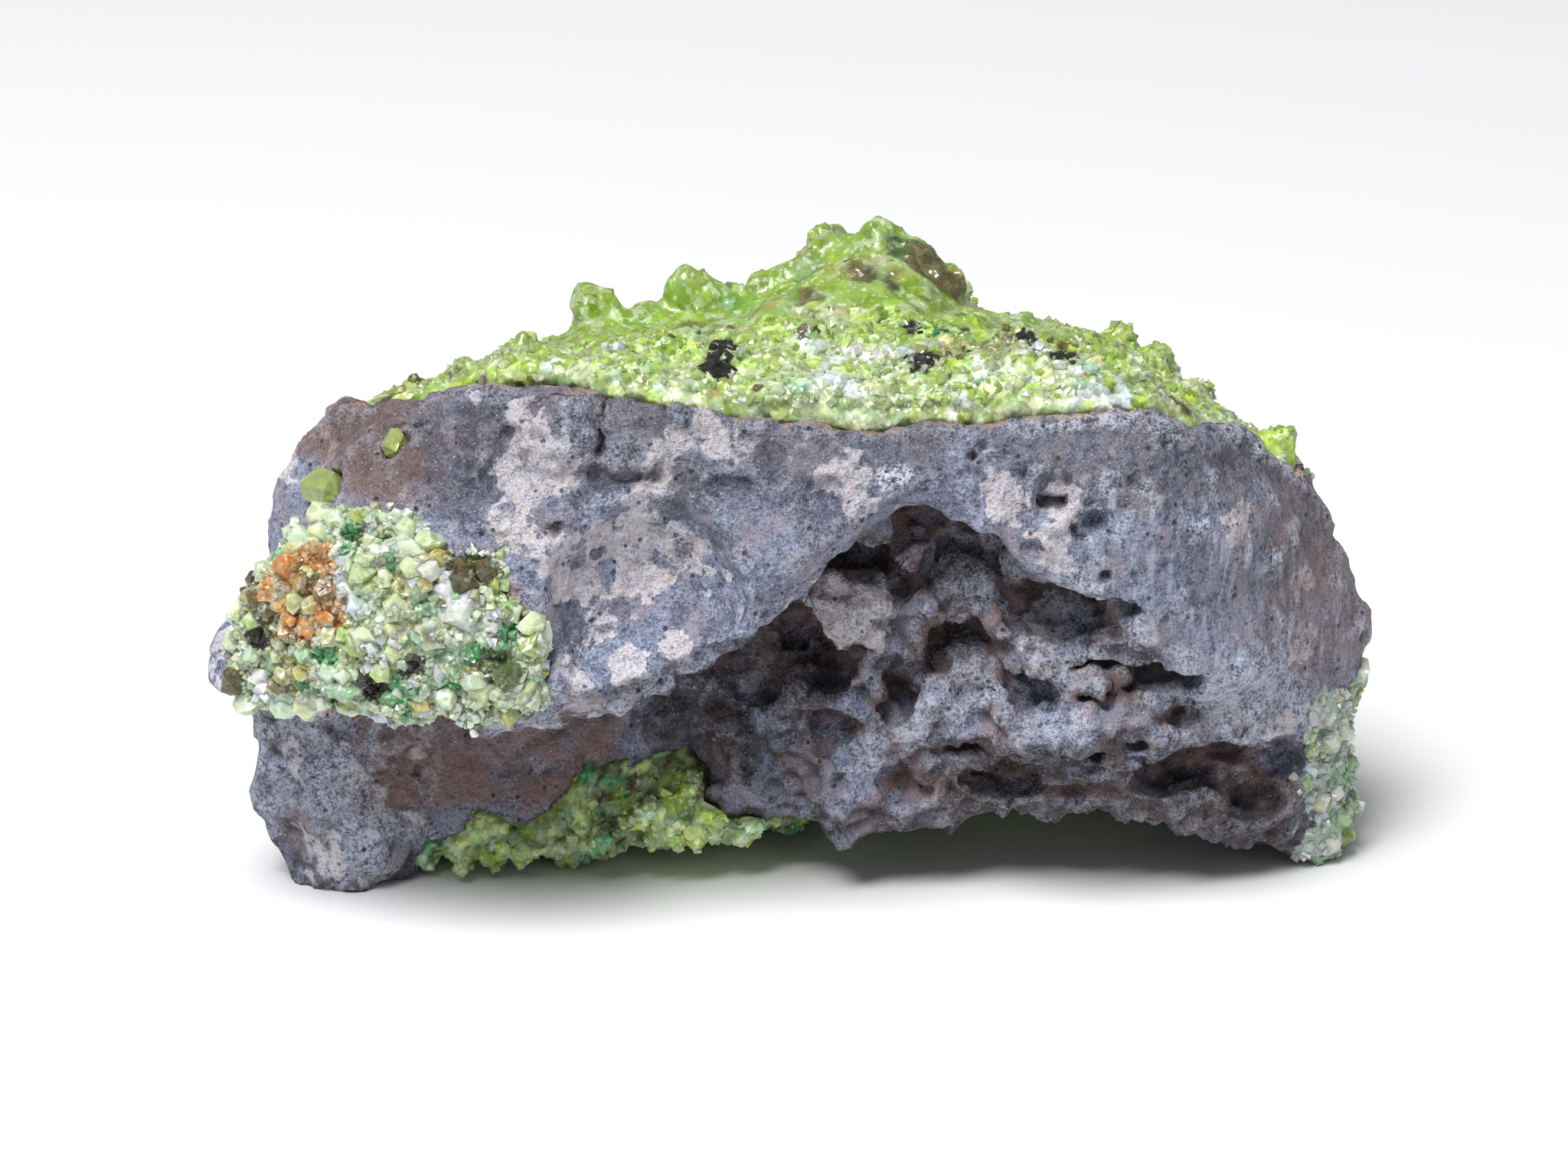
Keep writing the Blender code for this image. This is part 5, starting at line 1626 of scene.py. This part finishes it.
                colours = self._stained(points, colours)
                frames = frames_on(normals, 0.9, chance)
                grains.grow(points - normals * (sunk * size)[:, None], frames, size, colours, chance)
            if shape is STUB:
                self._grow_large(grains, chance)
            grains.finish(material, "pale_olivine")

    def _grow_large(self, grains: GrainField, chance: np.random.Generator) -> None:
        """Adds the large crystals, each half sunk at its place."""
        places = np.array([[part.x, part.y, part.z] for part in self.large])
        size = 2.0 * np.array([part.reach for part in self.large])
        kinds = np.array([list(Mineral).index(part.mineral) for part in self.large])
        facing = np.tile(np.array([[-0.15, -0.95, 0.25]]), (len(size), 1))
        half = np.full(len(size), 0.5)
        frames = frames_on(facing, 0.3, chance)
        grains.grow(places - facing * (0.32 * size)[:, None], frames, size, tints(kinds, half + 0.3, half), chance)


@dataclass
class LoneCrystals:
    """The single crystals in the basalt: the CAD's own solids, dressed as clear olivine."""

    nodes: tuple[tuple[str, ClearOlivineFinish], ...] = (
        ("lone_crystal", ClearOlivineFinish("clear_olivine", absorbed=(0.76, 0.88, 0.16), density=260.0)),
        ("olivine_sliver", ClearOlivineFinish("clear_sliver", absorbed=(0.76, 0.88, 0.16), density=300.0)),
    )

    def build(self) -> None:
        """Gives each crystal its finish."""
        for name, finish in self.nodes:
            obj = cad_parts[name]
            obj.data.materials.clear()
            obj.data.materials.append(finish.material())
            log.info("%s: the CAD solid, dressed", name)


@dataclass
class Studio:
    """A pale floor, soft light from above, and the camera at the photograph's angle."""

    aim: tuple[float, float, float] = (-0.64, -0.36, 14.35)
    elevation: float = 20.0
    distance: float = 350.0
    lens: float = 164.06
    sensor: float = 36.0
    floor: float = 2.0
    pale: tuple[float, float, float] = (0.86, 0.86, 0.87)
    sky: float = 0.28
    lights: tuple[tuple[str, tuple[float, float, float], float, float], ...] = (
        ("top_light", (-0.14, -0.26, 0.55), 0.36, 5.4),
    )

    def build(self) -> None:
        """Makes the floor, the world, the lights and the camera."""
        self._floor()
        self._light()
        self._camera()

    def _floor(self) -> None:
        """A square floor at height 0, with a faint unevenness in its paleness."""
        half = self.floor / 2
        data = bpy.data.meshes.new("floor")
        data.from_pydata([(-half, -half, 0), (half, -half, 0), (half, half, 0), (-half, half, 0)], [], [(0, 1, 2, 3)])
        bench = Bench("floor_paint")
        shade = bench.mix(bench.noise(60.0, 2.0), self.pale, tuple(0.97 * part for part in self.pale))
        bench.feed(bench.shader.inputs["Base Color"], shade)
        bench.shader.inputs["Roughness"].default_value = 0.9
        data.materials.append(bench.material)
        obj = bpy.data.objects.new("floor", data)
        bpy.context.scene.collection.objects.link(obj)

    def _light(self) -> None:
        """The pale sky and the area lights, each aimed at the specimen."""
        world = bpy.data.worlds.new("pale_sky")
        world.use_nodes = True
        background = world.node_tree.nodes["Background"]
        background.inputs["Color"].default_value = (0.93, 0.96, 1.0, 1.0)
        background.inputs["Strength"].default_value = self.sky
        bpy.context.scene.world = world
        for name, place, size, watts in self.lights:
            data = bpy.data.lights.new(name, "AREA")
            data.shape = "DISK"
            data.size = size
            data.energy = watts
            obj = bpy.data.objects.new(name, data)
            obj.location = place
            obj.rotation_euler = (Vector((0.0, 0.0, 0.015)) - Vector(place)).to_track_quat("-Z", "Y").to_euler()
            bpy.context.scene.collection.objects.link(obj)

    def _camera(self) -> None:
        """The camera, on the photograph's line of sight."""
        pitch = math.radians(self.elevation)
        back = Vector((0.0, -math.cos(pitch), math.sin(pitch)))
        data = bpy.data.cameras.new("camera")
        data.sensor_width = self.sensor
        data.lens = self.lens
        data.clip_start = 0.01
        data.clip_end = 10.0
        obj = bpy.data.objects.new("camera", data)
        obj.location = (Vector(self.aim) + back * self.distance) * MM
        obj.rotation_euler = (-back).to_track_quat("-Z", "Y").to_euler()
        bpy.context.scene.collection.objects.link(obj)
        bpy.context.scene.camera = obj


def main() -> None:
    """Builds the specimen and its studio."""
    logging.basicConfig(level=logging.INFO, format="%(message)s")
    bpy.context.scene.view_settings.view_transform = "Standard"
    Studio().build()
    rind, nodule, patch = BasaltRind().start(), PeridotNodule().start(), PeridotPatch().start()
    olivine = np.concatenate([nodule.skin.points, patch.skin.points])
    rind.shape(olivine)
    rind.paint(olivine)
    nodule.build(rind.skin)
    patch.build(rind.skin)
    LoneCrystals().build()


if __name__ == "__main__":
    main()
